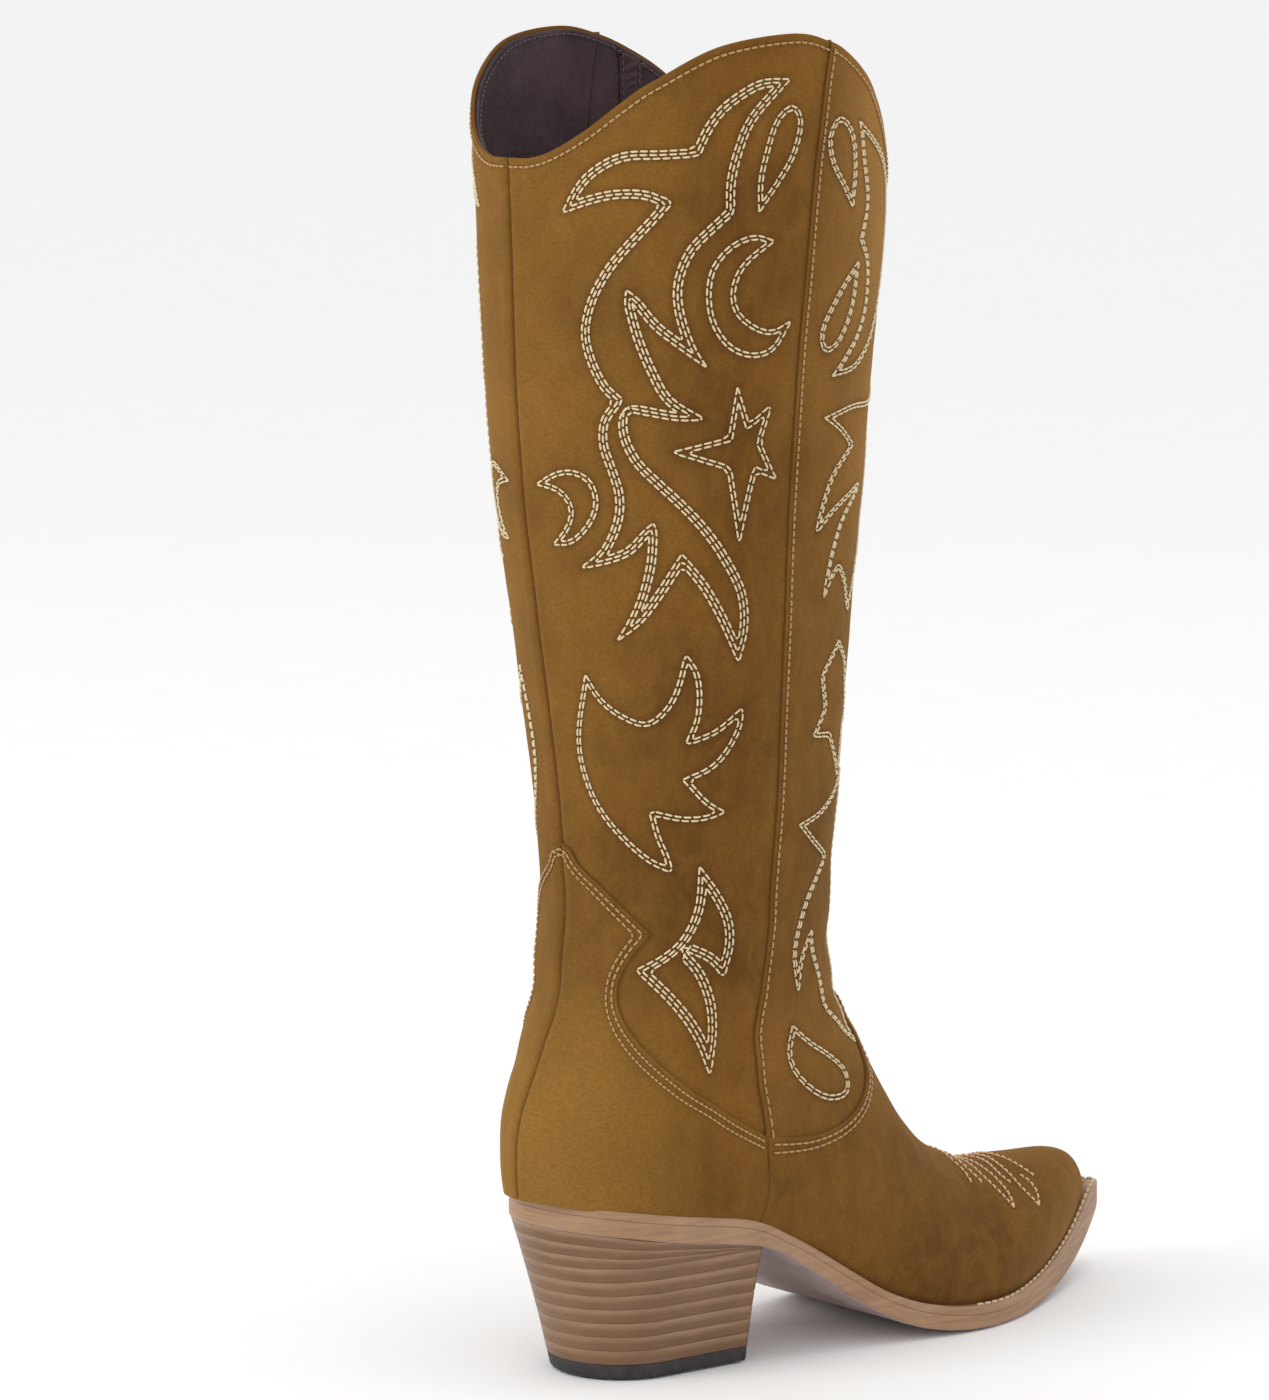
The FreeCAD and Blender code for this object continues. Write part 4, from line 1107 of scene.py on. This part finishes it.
# the outlines at the ground and at the height HEEL_TALL
HEEL_TALL = 70.0
HEEL_LOW = heel_corners(23.0, 15.5, 70.6, 24.5)
HEEL_HIGH = heel_corners(34.7, -4.2, 73.2, 37.9)
# the seat's height at the back and at the breast, and the length between them
SEAT = (51.4, 39.4, 70.0)
LIFT, LEVEL_FOOT = 4.75, 5.0
LEVEL_TOP = LEVEL_FOOT + 7 * LIFT


def heel_ring(height, inset, waver=0.0):
    """A ring round the heel where its height is height(forward), pulled in by inset.

    The heel's side is slightly hollow, and waver is the depth of a lift's unevenness.
    """
    z = np.full(len(HEEL_LOW), float(height(HEEL_CENTRE)))
    for _ in range(4):
        share = (z / HEEL_TALL)[:, None]
        loop = HEEL_LOW * (1 - share) + HEEL_HIGH * share
        z = height(HEEL_CENTRE - loop[:, 1])
    normals = path_normals(loop, True)
    hollow = 0.55 * np.sin(np.clip(z / 52.0, 0, 1) * math.pi)
    rough = waver * np.sin(np.arange(len(loop)) * 0.37 + waver * 91)
    loop = loop + normals * (inset + hollow + rough)[:, None]
    return np.column_stack([loop, z])


def level(z):
    return lambda forward: np.zeros_like(np.asarray(forward, float)) + z


def seat(forward):
    """The height of the heel seat."""
    return SEAT[0] - (SEAT[0] - SEAT[1]) / SEAT[2] * np.asarray(forward)


def fan(share):
    """A border between the last level one and the slanting seat of the heel."""
    return lambda forward: LEVEL_TOP + (seat(forward) - LEVEL_TOP) * share


def between(low, high, share):
    return lambda forward: low(forward) * (1 - share) + high(forward) * share


borders = [level(LEVEL_FOOT + LIFT * i) for i in range(8)] + [fan(i / 3) for i in (1, 2)] + [UNDERSIDE]
LIFT_PROFILE = ((0.16, 0.0), (0.05, 0.04), (0.0, 0.12), (0.0, 0.3), (0.0, 0.5), (0.0, 0.7), (0.0, 0.88),
                (0.05, 0.96), (0.16, 1.0))
lifts = []
for i, (low, high) in enumerate(zip(borders, borders[1:])):
    waver = 0.02 + 0.02 * ((i * 7) % 5) / 4
    lift = band("heel_lift_leather_%02d" % (i + 1),
                [heel_ring(between(low, high, share), inset, waver) for inset, share in LIFT_PROFILE])
    set_value(lift, "layer", np.repeat([share for _, share in LIFT_PROFILE], len(HEEL_LOW)))
    lifts.append(stand_in(lift, "heel_lift_%02d" % (i + 1)))
TIP_PROFILE = ((9.0, 0.35), (5.0, 0.3), (3.4, 0.06), (1.1, 0.0), (0.35, 0.15), (0.04, 0.6), (0.0, 2.4),
               (0.05, 4.5), (0.35, 5.0))
tip = band("rubber_tip", [heel_ring(level(z), inset) for inset, z in TIP_PROFILE])
stand_in(tip, "top_lift")

# ------------------------------------------------------------------ zip

ZIP_TILT = math.radians(3.43)
ZIP_FOOT = (37.1, HEEL_CENTRE - 68.0, 82.0)


def zip_place(local):
    """From the zip's frame (outwards, backwards, up the zip), mm, to the boot's frame."""
    x, y, z = np.asarray(local, float).T
    return np.stack([ZIP_FOOT[0] + x * math.cos(ZIP_TILT) + z * math.sin(ZIP_TILT), ZIP_FOOT[1] + y,
                     ZIP_FOOT[2] - x * math.sin(ZIP_TILT) + z * math.cos(ZIP_TILT)], 1)


def zip_mesh(name, verts, faces, smooth=False):
    """An object from vertices in the zip's frame."""
    return mesh_object(name, zip_place(verts), faces, smooth)


def solid_of(name, ring_sets, smooth=False):
    """Several solids made of rings as one piece in the zip's frame."""
    return zip_mesh(name, *ring_mesh(ring_sets), smooth)


def flat_loop(corners, spacing):
    """A closed outline through corners, with evenly spaced points."""
    return counter_clockwise(resample(np.array(corners + corners[:1]), spacing)[:-1])


def rounded_steps(low, high, round_by):
    """(inset, depth) of a plate's rings from one face to the other, with both edges rounded."""
    part = round_by * 0.3
    return ((round_by, low), (part, low + part), (0, low + round_by),
            (0, high - round_by), (part, high - part), (round_by, high))


def bevelled(outer, low, high, round_by):
    """Rings of a flat plate in the zip's frame: outline in (back, up), from depth low to high."""
    loop = counter_clockwise(np.asarray(outer, float))
    normals = path_normals(loop, True)
    return [np.column_stack([np.full(len(loop), x), loop + normals * inset])
            for inset, x in rounded_steps(low, high, round_by)]


def tape(name, y0, y1, node):
    """A tape from y0 to y1 across the zip, laid 2 mm under the boot's surface."""
    loop = flat_loop(((y0, -5.5), (y1, -5.5), (y1, 171.5), (y0, 171.5)), 2)

    def place(xy, heights):
        flat = zip_place(np.column_stack([np.zeros(len(xy)), xy]))
        vt = mirror(locate(np.column_stack([HEEL_CENTRE - flat[:, 1], flat[:, 2]])))
        return surface(*vt.T) - surface_normal(*vt.T) * (2.0 - np.asarray(heights))[:, None]
    piece = plate(name, loop, place, ((0.1, 0.0, 0), (0, 0.1, 0), (0, 0.5, 0), (0.1, 0.6, 0)), 2.0, 6.0,
                  lambda p: 0.04 * np.sin(p[:, 1] * 2.6))
    return stand_in(piece, node)


tapes = [tape("tape_front_cloth", -14, -2.3, "zip_tape_front"),
         tape("tape_back_cloth", 2.3, 14, "zip_tape_back")]


TEETH, TOOTH_PITCH, FIRST_TOOTH = 61, 2.5, 4.0


def tooth_rings(y_root, y_tip, low_z):
    """One tooth: a rounded block that narrows to a neck and widens to its head."""
    rings = []
    for share, wide, deep in ((0, 0.42, 0.8), (0.04, 0.55, 0.98), (0.35, 0.55, 1.0), (0.62, 0.36, 0.86),
                              (0.78, 0.52, 0.8), (0.94, 0.5, 0.76), (1.0, 0.3, 0.55)):
        y = y_root + (y_tip - y_root) * share
        middle, depth = -1.4, 1.0 * deep
        rings.append([(middle + depth * cx, y, low_z + 0.55 + wide * cz)
                      for cx, cz in ((-1, -0.6), (-0.75, -1), (0.75, -1), (1, -0.6), (1, 0.6), (0.75, 1),
                                     (-0.75, 1), (-1, 0.6))])
    return np.array(rings)


def teeth(name, side, node):
    """The row of teeth on the front tape (side -1) or on the back tape (side 1)."""
    first = FIRST_TOOTH + (TOOTH_PITCH / 2 if side > 0 else 0)
    verts, faces = ring_mesh([tooth_rings(side * 2.6, -side * 0.7, first + TOOTH_PITCH * i)
                              for i in range(TEETH)])
    if side < 0:
        faces = [face[::-1] for face in faces]
    return stand_in(zip_mesh(name, verts, faces), node)


metal_teeth = [teeth("teeth_front", -1, "zip_teeth_front"), teeth("teeth_back", 1, "zip_teeth_back")]


def rounded_box(x0, x1, y0, y1, z0, z1, by):
    """Rings of a box with its corners cut by a length and its edges rounded."""
    loop = [(y0 + by, z0), (y1 - by, z0), (y1, z0 + by), (y1, z1 - by), (y1 - by, z1), (y0 + by, z1),
            (y0, z1 - by), (y0, z0 + by)]
    return bevelled(loop, x0, x1, by * 0.8)


stops = solid_of("top_stops", [rounded_box(-2.4, -0.4, y, y + 1.8, 163.5, 167.0, 0.35) for y in (-2.6, 0.8)])
foot_stop = solid_of("bottom_stop", [rounded_box(-2.4, -0.4, -2.6, 2.6, 0.0, 3.2, 0.5)])
stand_in(stops, "zip_top_stops")
stand_in(foot_stop, "zip_bottom_stop")

SLIDER_AT = 157.0


def egg(half_wide, half_long, power, taper=0.0):
    """A rounded outline about the slider's middle, wider at the top with taper."""
    turns = np.linspace(0, 2 * math.pi, 40, endpoint=False)
    c, s = np.cos(turns), np.sin(turns)
    y = half_wide * np.sign(c) * abs(c) ** (2 / power)
    z = half_long * np.sign(s) * abs(s) ** (2 / power)
    return np.stack([y * (1 + taper * z / half_long), z + SLIDER_AT], 1)


def tube_rings(path, half_y, half_n):
    """An elliptic rod along a path in the zip's (outwards, up) plane."""
    ahead = np.gradient(path, axis=0)
    ahead /= np.linalg.norm(ahead, axis=1, keepdims=True)
    turns = np.linspace(0, 2 * math.pi, 12, endpoint=False)
    c, s = half_n * np.cos(turns), half_y * np.sin(turns)
    return [np.stack([x - c * dz, s, z + c * dx], 1) for (x, z), (dx, dz) in zip(path, ahead)]


deck = bevelled(egg(4.3, 5.0, 3.2, 0.10), 0.0, 1.05, 0.45)
crown = bevelled(egg(2.4, 3.6, 2.2), 0.95, 1.35, 0.3)
flanges = [rounded_box(-1.05, 0.4, y, y + 0.85, SLIDER_AT - 4.4, SLIDER_AT + 4.4, 0.25) for y in (-4.3, 3.45)]
arch = smooth_run([(0.9, SLIDER_AT - 3.5), (2.6, SLIDER_AT - 3.45), (3.65, SLIDER_AT - 2.6),
                   (4.0, SLIDER_AT - 0.8), (4.0, SLIDER_AT + 0.8), (3.65, SLIDER_AT + 2.6),
                   (2.6, SLIDER_AT + 3.45), (0.9, SLIDER_AT + 3.5)], 0.5)
slider = solid_of("slider_body", [deck, crown] + flanges + [tube_rings(arch, 0.85, 0.55)], True)
stand_in(slider, "zip_slider", "slider")

# pull tab: rounded head with a slot, straight blade and a notched end
TAB_TOP, TAB_END = SLIDER_AT + 2.05, SLIDER_AT - 30.0
tab_outline = flat_loop(((-2.2, TAB_TOP), (-3.2, TAB_TOP - 0.6), (-3.5, TAB_TOP - 1.8), (-3.5, TAB_END),
                         (0.0, TAB_END + 3.5), (3.5, TAB_END), (3.5, TAB_TOP - 1.8), (3.2, TAB_TOP - 0.6),
                         (2.2, TAB_TOP)), 0.7)
SLOT_LOW, SLOT_HIGH = SLIDER_AT - 5.4, SLIDER_AT + 0.78
slot_loop = flat_loop(((-1.2, SLOT_LOW), (1.2, SLOT_LOW), (1.6, SLIDER_AT - 5.0), (1.6, SLIDER_AT + 0.4),
                       (1.2, SLOT_HIGH), (-1.2, SLOT_HIGH), (-1.6, SLIDER_AT + 0.4),
                       (-1.6, SLIDER_AT - 5.0)), 0.5)


def holed_plate(name, outer, hole, low, high, round_by):
    """A plate with one hole, both with rounded edges, in the zip's frame."""
    steps = rounded_steps(low, high, round_by)
    outer_n, hole_n = path_normals(outer, True), path_normals(hole, True)
    flats = [np.vstack([outer + outer_n * inset, hole - hole_n * inset]) for inset, _ in steps]
    verts = [np.column_stack([np.full(len(flat), x), flat]) for flat, (_, x) in zip(flats, steps)]
    a, b = len(outer), len(hole)
    after = [(k + 1) % a for k in range(a)] + [a + (k + 1) % b for k in range(b)]
    faces = []
    for r in range(len(steps) - 1):
        here, there = r * (a + b), (r + 1) * (a + b)
        for k, j in enumerate(after):
            quad = (here + k, here + j, there + j, there + k)
            faces.append(quad if k < a else quad[::-1])
    total = (a + b) * len(steps)
    for flat, x, turn in ((flats[0], low, -1), (flats[-1], high, 1)):
        spots, _, made = delaunay_2d_cdt([Vector(p) for p in flat], list(enumerate(after)), [], 0, 1e-6)[:3]
        spots = np.array([tuple(p) for p in spots])
        middles = np.array([spots[list(face)].mean(0) for face in made])
        solid = inside_polygon(middles, flat[:a]) & ~inside_polygon(middles, flat[a:])
        verts.append(np.column_stack([np.full(len(spots), x), spots]))
        faces += [tuple(total + i for i in face[::turn]) for face, keep in zip(made, solid) if keep]
        total += len(spots)
    piece = zip_mesh(name, np.vstack(verts), faces)
    close_gaps(piece, True)
    return piece


tab = holed_plate("pull_tab_blade", tab_outline, slot_loop, 1.65, 2.85, 0.28)
stand_in(tab, "pull_tab", "tab")

# the sock inside, over the insole
sock_loop = edge_loop - SOLE_CENTRE
sock_length = np.where(sock_loop[:, 1] < 0, 0.87, 0.93)
sock_loop = sock_loop * np.column_stack([np.full(len(sock_loop), 0.80), sock_length]) + SOLE_CENTRE
sock = plate("sock_leather", sock_loop,
             layered(lambda f: FEATHER(f) + 2.5, lambda f: FEATHER(f) + 3.5),
             ((0.4, 0.0, 0), (0, 0.3, 0), (0, 0.7, 1), (0.4, 1.0, 1)), 3.0, 6.0,
             lambda p: 0.15 * np.sin(p[:, 0] * 0.2) * np.cos(p[:, 1] * 0.11))
stand_in(sock, "sock_liner")
inner_thread = INNER.build("lining_thread")
for sewn_in in (embroidery, topstitch, toe_stitch, inner_thread):
    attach(sewn_in, "boot")

# ------------------------------------------------------------------ materials


def srgb(r, g, b):
    """A colour given from 0 to 255, as the linear values that a shader takes."""
    parts = [c / 255 for c in (r, g, b)]
    return tuple(c / 12.92 if c <= 0.04 else ((c + 0.055) / 1.055) ** 2.4 for c in parts) + (1.0,)


class Material:
    """A material built from its nodes, with the object's own metres as the pattern's space."""

    def __init__(self, name, roughness=0.6, metallic=0.0, **sockets):
        self.material = bpy.data.materials.new(name)
        self.material.use_nodes = True
        self.tree = self.material.node_tree
        self.shader = self.tree.nodes["Principled BSDF"]
        self.shader.inputs["Roughness"].default_value = roughness
        self.shader.inputs["Metallic"].default_value = metallic
        for key, value in sockets.items():
            self.shader.inputs[key.replace("_", " ")].default_value = value
        self.space = self.tree.nodes.new("ShaderNodeTexCoord").outputs["Object"]

    def node(self, kind, inputs=None, **props):
        """A node with its properties set and its inputs linked or set."""
        made = self.tree.nodes.new(kind)
        for key, value in props.items():
            setattr(made, key, value)
        for key, value in (inputs or {}).items():
            if isinstance(value, bpy.types.NodeSocket):
                self.tree.links.new(value, made.inputs[key])
            else:
                made.inputs[key].default_value = value
        return made

    def noise(self, size, detail=3.0, rough=0.55, scale=None, distortion=0.0):
        """Noise with features about size mm across, drawn out along an axis where scale is small."""
        vector = self.space
        if scale:
            vector = self.node("ShaderNodeMapping", {"Vector": vector, "Scale": scale}).outputs["Vector"]
        return self.node("ShaderNodeTexNoise", {"Vector": vector, "Scale": 1000.0 / size, "Detail": detail,
                                                "Roughness": rough, "Distortion": distortion}).outputs["Fac"]

    def ramp(self, value, low, high, a=0.0, b=1.0):
        return self.node("ShaderNodeMapRange", {"Value": value, "From Min": low, "From Max": high,
                                                "To Min": a, "To Max": b}).outputs["Result"]

    def blend(self, share, a, b):
        return self.node("ShaderNodeMix", {"Factor": share, 6: a, 7: b}, data_type="RGBA").outputs[2]

    def flecks(self, colour, tone, low, high, most, *pattern):
        """The colour with flecks of a tone where a noise lies above low; most is their full strength."""
        return self.blend(self.ramp(self.noise(*pattern), low, high, 0.0, most), colour, tone)

    def maths(self, operation, a, b):
        return self.node("ShaderNodeMath", {0: a, 1: b}, operation=operation).outputs[0]

    def attribute(self, name):
        return self.node("ShaderNodeAttribute", attribute_name=name).outputs["Fac"]

    def bump(self, height, depth_mm, normal=None):
        inputs = {"Height": height, "Strength": 1.0, "Distance": depth_mm * MM}
        if normal is not None:
            inputs["Normal"] = normal
        return self.node("ShaderNodeBump", inputs).outputs["Normal"]

    def finish(self, colour=None, normal=None, roughness=None):
        for key, value in (("Base Color", colour), ("Normal", normal), ("Roughness", roughness)):
            if value is not None:
                self.tree.links.new(value, self.shader.inputs[key])
        return self.material


def suede():
    m = Material("suede_nap", 0.92, Sheen_Weight=0.3, Sheen_Roughness=0.4, Specular_IOR_Level=0.15)
    m.shader.inputs["Sheen Tint"].default_value = srgb(206, 160, 84)
    colour = m.flecks(srgb(78, 44, 8), srgb(120, 78, 24), 0.34, 0.66, 1.0, 55, 3, 0.6)
    place = m.node("ShaderNodeSeparateXYZ", {"Vector": m.space}).outputs

    def zone(tone, one, two):
        """Painted light and painted shade: the colour with a tone laid over a zone, the product of two ramps
        along the boot's axes.
        """
        share = m.maths("MULTIPLY", m.ramp(place[one[0]], *one[1:]), m.ramp(place[two[0]], *two[1:]))
        return m.blend(share, colour, tone)
    # painted light and shade laid over the suede by zones: a golden painted highlight on the heel, a painted
    # highlight on the strip beside the side seam and forward of it, a painted highlight on the upper front,
    # painted shade on the toe and painted shade darkening the ankle
    colour = zone(srgb(172, 129, 60), ("Y", -0.014, 0.034), ("Z", 0.17, 0.09, 0.28, 0.55))
    # painted highlight: a light golden tint that grows over the strip beside the side seam and stays forward
    # of it
    colour = m.blend(m.ramp(place["Y"], 0.0, -0.025, 0.0, 0.16), colour, srgb(172, 129, 64))
    # painted highlight on the upper front, lighter golden towards the rim
    colour = zone(srgb(182, 134, 70), ("Y", -0.03, -0.055), ("Z", 0.24, 0.4, 0.0, 0.5))
    # painted shade: darker over the toe, low down and towards the front
    colour = zone(srgb(86, 57, 26), ("Y", -0.03, -0.09), ("Z", 0.2, 0.09, 0.0, 0.34))
    # painted shade: a darker band round the ankle, between about 0.1 and 0.25 m up
    colour = zone(srgb(70, 42, 12), ("Z", 0.25, 0.17), ("Z", 0.1, 0.14, 0.0, 0.28))
    marks = m.ramp(m.noise(7, 5, 0.7, (1, 1, 0.6), 0.6), 0.4, 0.72)
    colour = m.blend(m.maths("MULTIPLY", marks, 0.4), colour, srgb(148, 104, 46))
    colour = m.flecks(colour, srgb(80, 50, 18), 0.34, 0.7, 0.5, 1.1, 5, 0.75, (1, 1, 1.5))
    # painted shade: darker brown in the stitch holes and seam grooves
    colour = m.blend(m.maths("MULTIPLY", m.attribute("sewn"), 0.4), colour, srgb(74, 43, 14))
    # painted shade: a darker tan where the cut edge and the back of the leather show, the shade in the step
    # at each panel's edge
    colour = m.blend(m.attribute("side"), colour, srgb(104, 70, 32))
    normal = m.bump(m.noise(0.5, 3, 0.7), 0.14)
    normal = m.bump(m.noise(2.4, 3, 0.6), 0.18, normal)
    normal = m.bump(m.noise(14, 3, 0.6), 0.4, normal)
    return m.finish(colour, normal, m.ramp(m.noise(6), 0.3, 0.7, 0.85, 0.97))


def lining_leather():
    m = Material("lining_grain", 0.62, Specular_IOR_Level=0.25)
    colour = m.flecks(srgb(56, 38, 42), srgb(82, 60, 63), 0.35, 0.7, 1.0, 25)
    cells = m.node("ShaderNodeTexVoronoi", {"Vector": m.space, "Scale": 1000 / 1.1},
                   feature="DISTANCE_TO_EDGE").outputs["Distance"]
    creases = m.ramp(cells, 0.0, 0.12)
    colour = m.blend(m.ramp(creases, 0, 1, 0.3, 0.0), colour, srgb(34, 24, 26))
    normal = m.bump(creases, 0.05)
    normal = m.bump(m.noise(5, 3, 0.6), 0.35, normal)
    return m.finish(colour, normal, m.ramp(m.noise(2.5), 0.3, 0.7, 0.45, 0.65))


def thread(name, light, dark, roughness=0.6):
    m = Material(name, roughness, Sheen_Weight=0.2)
    strands = m.node("ShaderNodeTexWave", {"Vector": m.space, "Scale": 900.0, "Distortion": 2.0,
                                           "Detail": 2.0}, wave_type="BANDS", bands_direction="DIAGONAL")
    colour = m.blend(m.ramp(strands.outputs["Fac"], 0.1, 0.9), dark, light)
    colour = m.flecks(colour, dark, 0.35, 0.7, 0.3, 12)
    return m.finish(colour, m.bump(strands.outputs["Fac"], 0.08))


def stacked_leather():
    m = Material("stacked_leather_edge", 0.4, Specular_IOR_Level=0.45)
    waver = m.maths("MULTIPLY", m.maths("SUBTRACT", m.noise(14, 2, 0.5), 0.5), 0.35)
    layer = m.maths("ADD", m.attribute("layer"), waver)
    pale = m.maths("MULTIPLY", m.ramp(layer, 0.45, 0.85), m.ramp(layer, 1.1, 0.9))
    pale = m.maths("MULTIPLY", pale, m.ramp(m.noise(30, 2, 0.5, (1, 1, 3)), 0.3, 0.6, 0.45, 1.0))
    colour = m.blend(pale, srgb(110, 78, 51), srgb(150, 117, 88))
    grain = m.noise(0.9, 3, 0.6, (0.04, 0.04, 1.2))
    colour = m.blend(m.ramp(grain, 0.4, 0.75, 0.0, 0.35), colour, srgb(104, 72, 48))
    colour = m.flecks(colour, srgb(142, 108, 80), 0.4, 0.7, 0.3, 22)
    normal = m.bump(grain, 0.025)
    normal = m.bump(m.noise(0.5, 2, 0.6), 0.02, normal)
    return m.finish(colour, normal, m.ramp(grain, 0.3, 0.7, 0.36, 0.5))


def sole_edge():
    m = Material("sole_edge_leather", 0.5, Specular_IOR_Level=0.4)
    grain = m.noise(1.4, 3, 0.55, (0.05, 0.05, 1.0))
    colour = m.blend(m.ramp(grain, 0.35, 0.7), srgb(160, 126, 96), srgb(142, 108, 78))
    colour = m.flecks(colour, srgb(172, 138, 110), 0.4, 0.7, 0.5, 22)
    return m.finish(colour, m.bump(grain, 0.02), m.ramp(grain, 0.3, 0.7, 0.42, 0.6))


def sole_underside():
    m = Material("sole_underside_leather", 0.55, Specular_IOR_Level=0.4)
    colour = m.flecks(srgb(178, 158, 154), srgb(156, 134, 130), 0.35, 0.7, 1.0, 18, 4)
    colour = m.flecks(colour, srgb(130, 108, 104), 0.55, 0.75, 0.5, 2.2, 4, 0.7, (1, 0.35, 1))
    return m.finish(colour, m.bump(m.noise(0.8, 3, 0.6), 0.08), m.ramp(m.noise(5), 0.3, 0.7, 0.45, 0.65))


def rubber():
    m = Material("rubber_tip_black", 0.6, Specular_IOR_Level=0.35)
    colour = m.flecks(srgb(44, 39, 41), srgb(60, 54, 56), 0.35, 0.7, 1.0, 3)
    colour = m.flecks(colour, srgb(90, 84, 85), 0.6, 0.75, 0.5, 0.5, 2)
    return m.finish(colour, m.bump(m.noise(0.4, 2, 0.6), 0.05), m.ramp(m.noise(4), 0.3, 0.7, 0.5, 0.7))


def woven(name, light, dark):
    m = Material(name, 0.85)
    ways = [m.node("ShaderNodeTexWave", {"Vector": m.space, "Scale": 620.0, "Distortion": 0.6},
                   bands_direction=way).outputs["Fac"] for way in "ZY"]
    weave = m.maths("MULTIPLY", *ways)
    colour = m.blend(m.ramp(weave, 0.0, 0.7), dark, light)
    return m.finish(colour, m.bump(weave, 0.12))


def metal(name, light, dark, roughness):
    m = Material(name, roughness, 1.0)
    colour = m.flecks(light, dark, 0.35, 0.7, 1.0, 1.6)
    normal = m.bump(m.noise(0.35, 3, 0.6, (1, 1, 0.15)), 0.012)
    return m.finish(colour, normal, m.ramp(m.noise(2.4, 3), 0.3, 0.7, roughness * 0.8, roughness * 1.3))


def granular(name, light, dark, size):
    m = Material(name, 0.9)
    cells = m.node("ShaderNodeTexVoronoi", {"Vector": m.space, "Scale": 1000 / size}).outputs["Color"]
    colour = m.blend(m.ramp(cells, 0.2, 0.8), light, dark)
    return m.finish(colour, m.bump(m.noise(size, 3), 0.1))


SUEDE, LINING, STACK = suede(), lining_leather(), stacked_leather()
EDGE, UNDER = sole_edge(), sole_underside()
RUBBER = rubber()
TAPE = woven("zip_tape_weave", srgb(112, 82, 48), srgb(66, 46, 28))
BOARD = granular("fibre_board", srgb(190, 176, 150), srgb(150, 134, 108), 1.0)
CORK = granular("cork_filler", srgb(190, 150, 100), srgb(112, 76, 44), 2.2)
BRASS = metal("zip_brass", srgb(214, 186, 128), srgb(176, 146, 92), 0.28)
POLISHED = metal("polished_metal", srgb(232, 226, 214), srgb(205, 196, 180), 0.16)
STEEL = metal("plain_steel", srgb(190, 190, 192), srgb(140, 140, 142), 0.35)
CREAM_THREAD = thread("thread_cream", srgb(240, 226, 188), srgb(206, 182, 134))
TAN_THREAD = thread("thread_tan", srgb(206, 164, 102), srgb(154, 114, 60))
PEACH_THREAD = thread("thread_peach", srgb(244, 204, 158), srgb(212, 166, 118))
WELT_THREAD = thread("thread_welt", srgb(230, 204, 166), srgb(190, 160, 120))
PLUM_THREAD = thread("thread_plum", srgb(104, 84, 84), srgb(60, 46, 50))


def paint(pieces, material):
    """Gives pieces one material."""
    for piece in pieces:
        piece.data.materials.clear()
        piece.data.materials.append(material)


def two_sides(piece, edge, flat):
    """The edge material all round, and another on the faces that look up or down."""
    piece.data.materials.append(edge)
    piece.data.materials.append(flat)
    for face in piece.data.polygons:
        face.material_index = 1 if abs(face.normal.z) > 0.75 else 0


paint(uppers, SUEDE)
paint(linings + [sock], LINING)
paint(lifts, STACK)
paint([tip], RUBBER)
two_sides(outsole, EDGE, UNDER)
paint([welt], EDGE)
paint(tapes, TAPE)
paint(metal_teeth + [stops, foot_stop, slider], BRASS)
paint([tab], POLISHED)
paint([embroidery], CREAM_THREAD)
paint([topstitch], TAN_THREAD)
paint([toe_stitch], PEACH_THREAD)
paint([inner_thread], PLUM_THREAD)
paint([welt_thread], WELT_THREAD)
for node, material in (("heel_counter", BOARD), ("toe_puff", BOARD), ("insole_board", BOARD),
                       ("bottom_filler", CORK), ("shank", STEEL), ("heel_screw", STEEL),
                       ("heel_nails", STEEL), ("top_lift_nails", STEEL)):
    paint([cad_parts[node]], material)

# ------------------------------------------------------------------ floor, light and camera

FAR = 40000
floor = mesh_object("floor", [(-FAR, -FAR, -0.6), (FAR, -FAR, -0.6), (FAR, FAR, -0.6), (-FAR, FAR, -0.6)],
                    [(0, 1, 2, 3)], False)
ground = Material("pale_floor", 0.9)
ground.finish(ground.flecks((0.92, 0.92, 0.92, 1), (0.93, 0.93, 0.93, 1), 0.3, 0.7, 1.0, 40, 2))
floor.data.materials.append(ground.material)

world = bpy.data.worlds.new("studio")
bpy.context.scene.world = world
world.use_nodes = True
world.node_tree.nodes["Background"].inputs["Color"].default_value = (1.0, 1.0, 1.0, 1)
world.node_tree.nodes["Background"].inputs["Strength"].default_value = 0.96


LIT = Vector((0, -0.05, 0.2))


def soft_light(name, place, size, power):
    """A round area light that shines at LIT; metres and watts."""
    data = bpy.data.lights.new(name, "AREA")
    data.shape = "DISK"
    data.size = size
    data.energy = power
    lamp = bpy.data.objects.new(name, data)
    lamp.location = place
    lamp.rotation_euler = (LIT - Vector(place)).to_track_quat("-Z", "Y").to_euler()
    bpy.context.collection.objects.link(lamp)


soft_light("key", (0.5, 2.0, 1.3), 1.1, 17)
soft_light("fill", (-2.0, 0.6, 1.1), 1.4, 2)
soft_light("top", (-0.3, -0.6, 2.4), 1.2, 5)

AZIMUTH, ELEVATION, DISTANCE = math.radians(50), math.radians(7.9), 2.105
TARGET = Vector((0.1225, -0.104, 0.1939))
back = Vector((-math.sin(AZIMUTH) * math.cos(ELEVATION), math.cos(AZIMUTH) * math.cos(ELEVATION),
               math.sin(ELEVATION)))
camera_data = bpy.data.cameras.new("camera")
camera_data.sensor_fit = "VERTICAL"
camera_data.sensor_height = 36.0
camera_data.lens = 156.3
camera = bpy.data.objects.new("camera", camera_data)
camera.location = TARGET + back * DISTANCE
camera.rotation_euler = (-back).to_track_quat("-Z", "Y").to_euler()
bpy.context.collection.objects.link(camera)
bpy.context.scene.camera = camera
bpy.context.scene.view_settings.view_transform = "Standard"
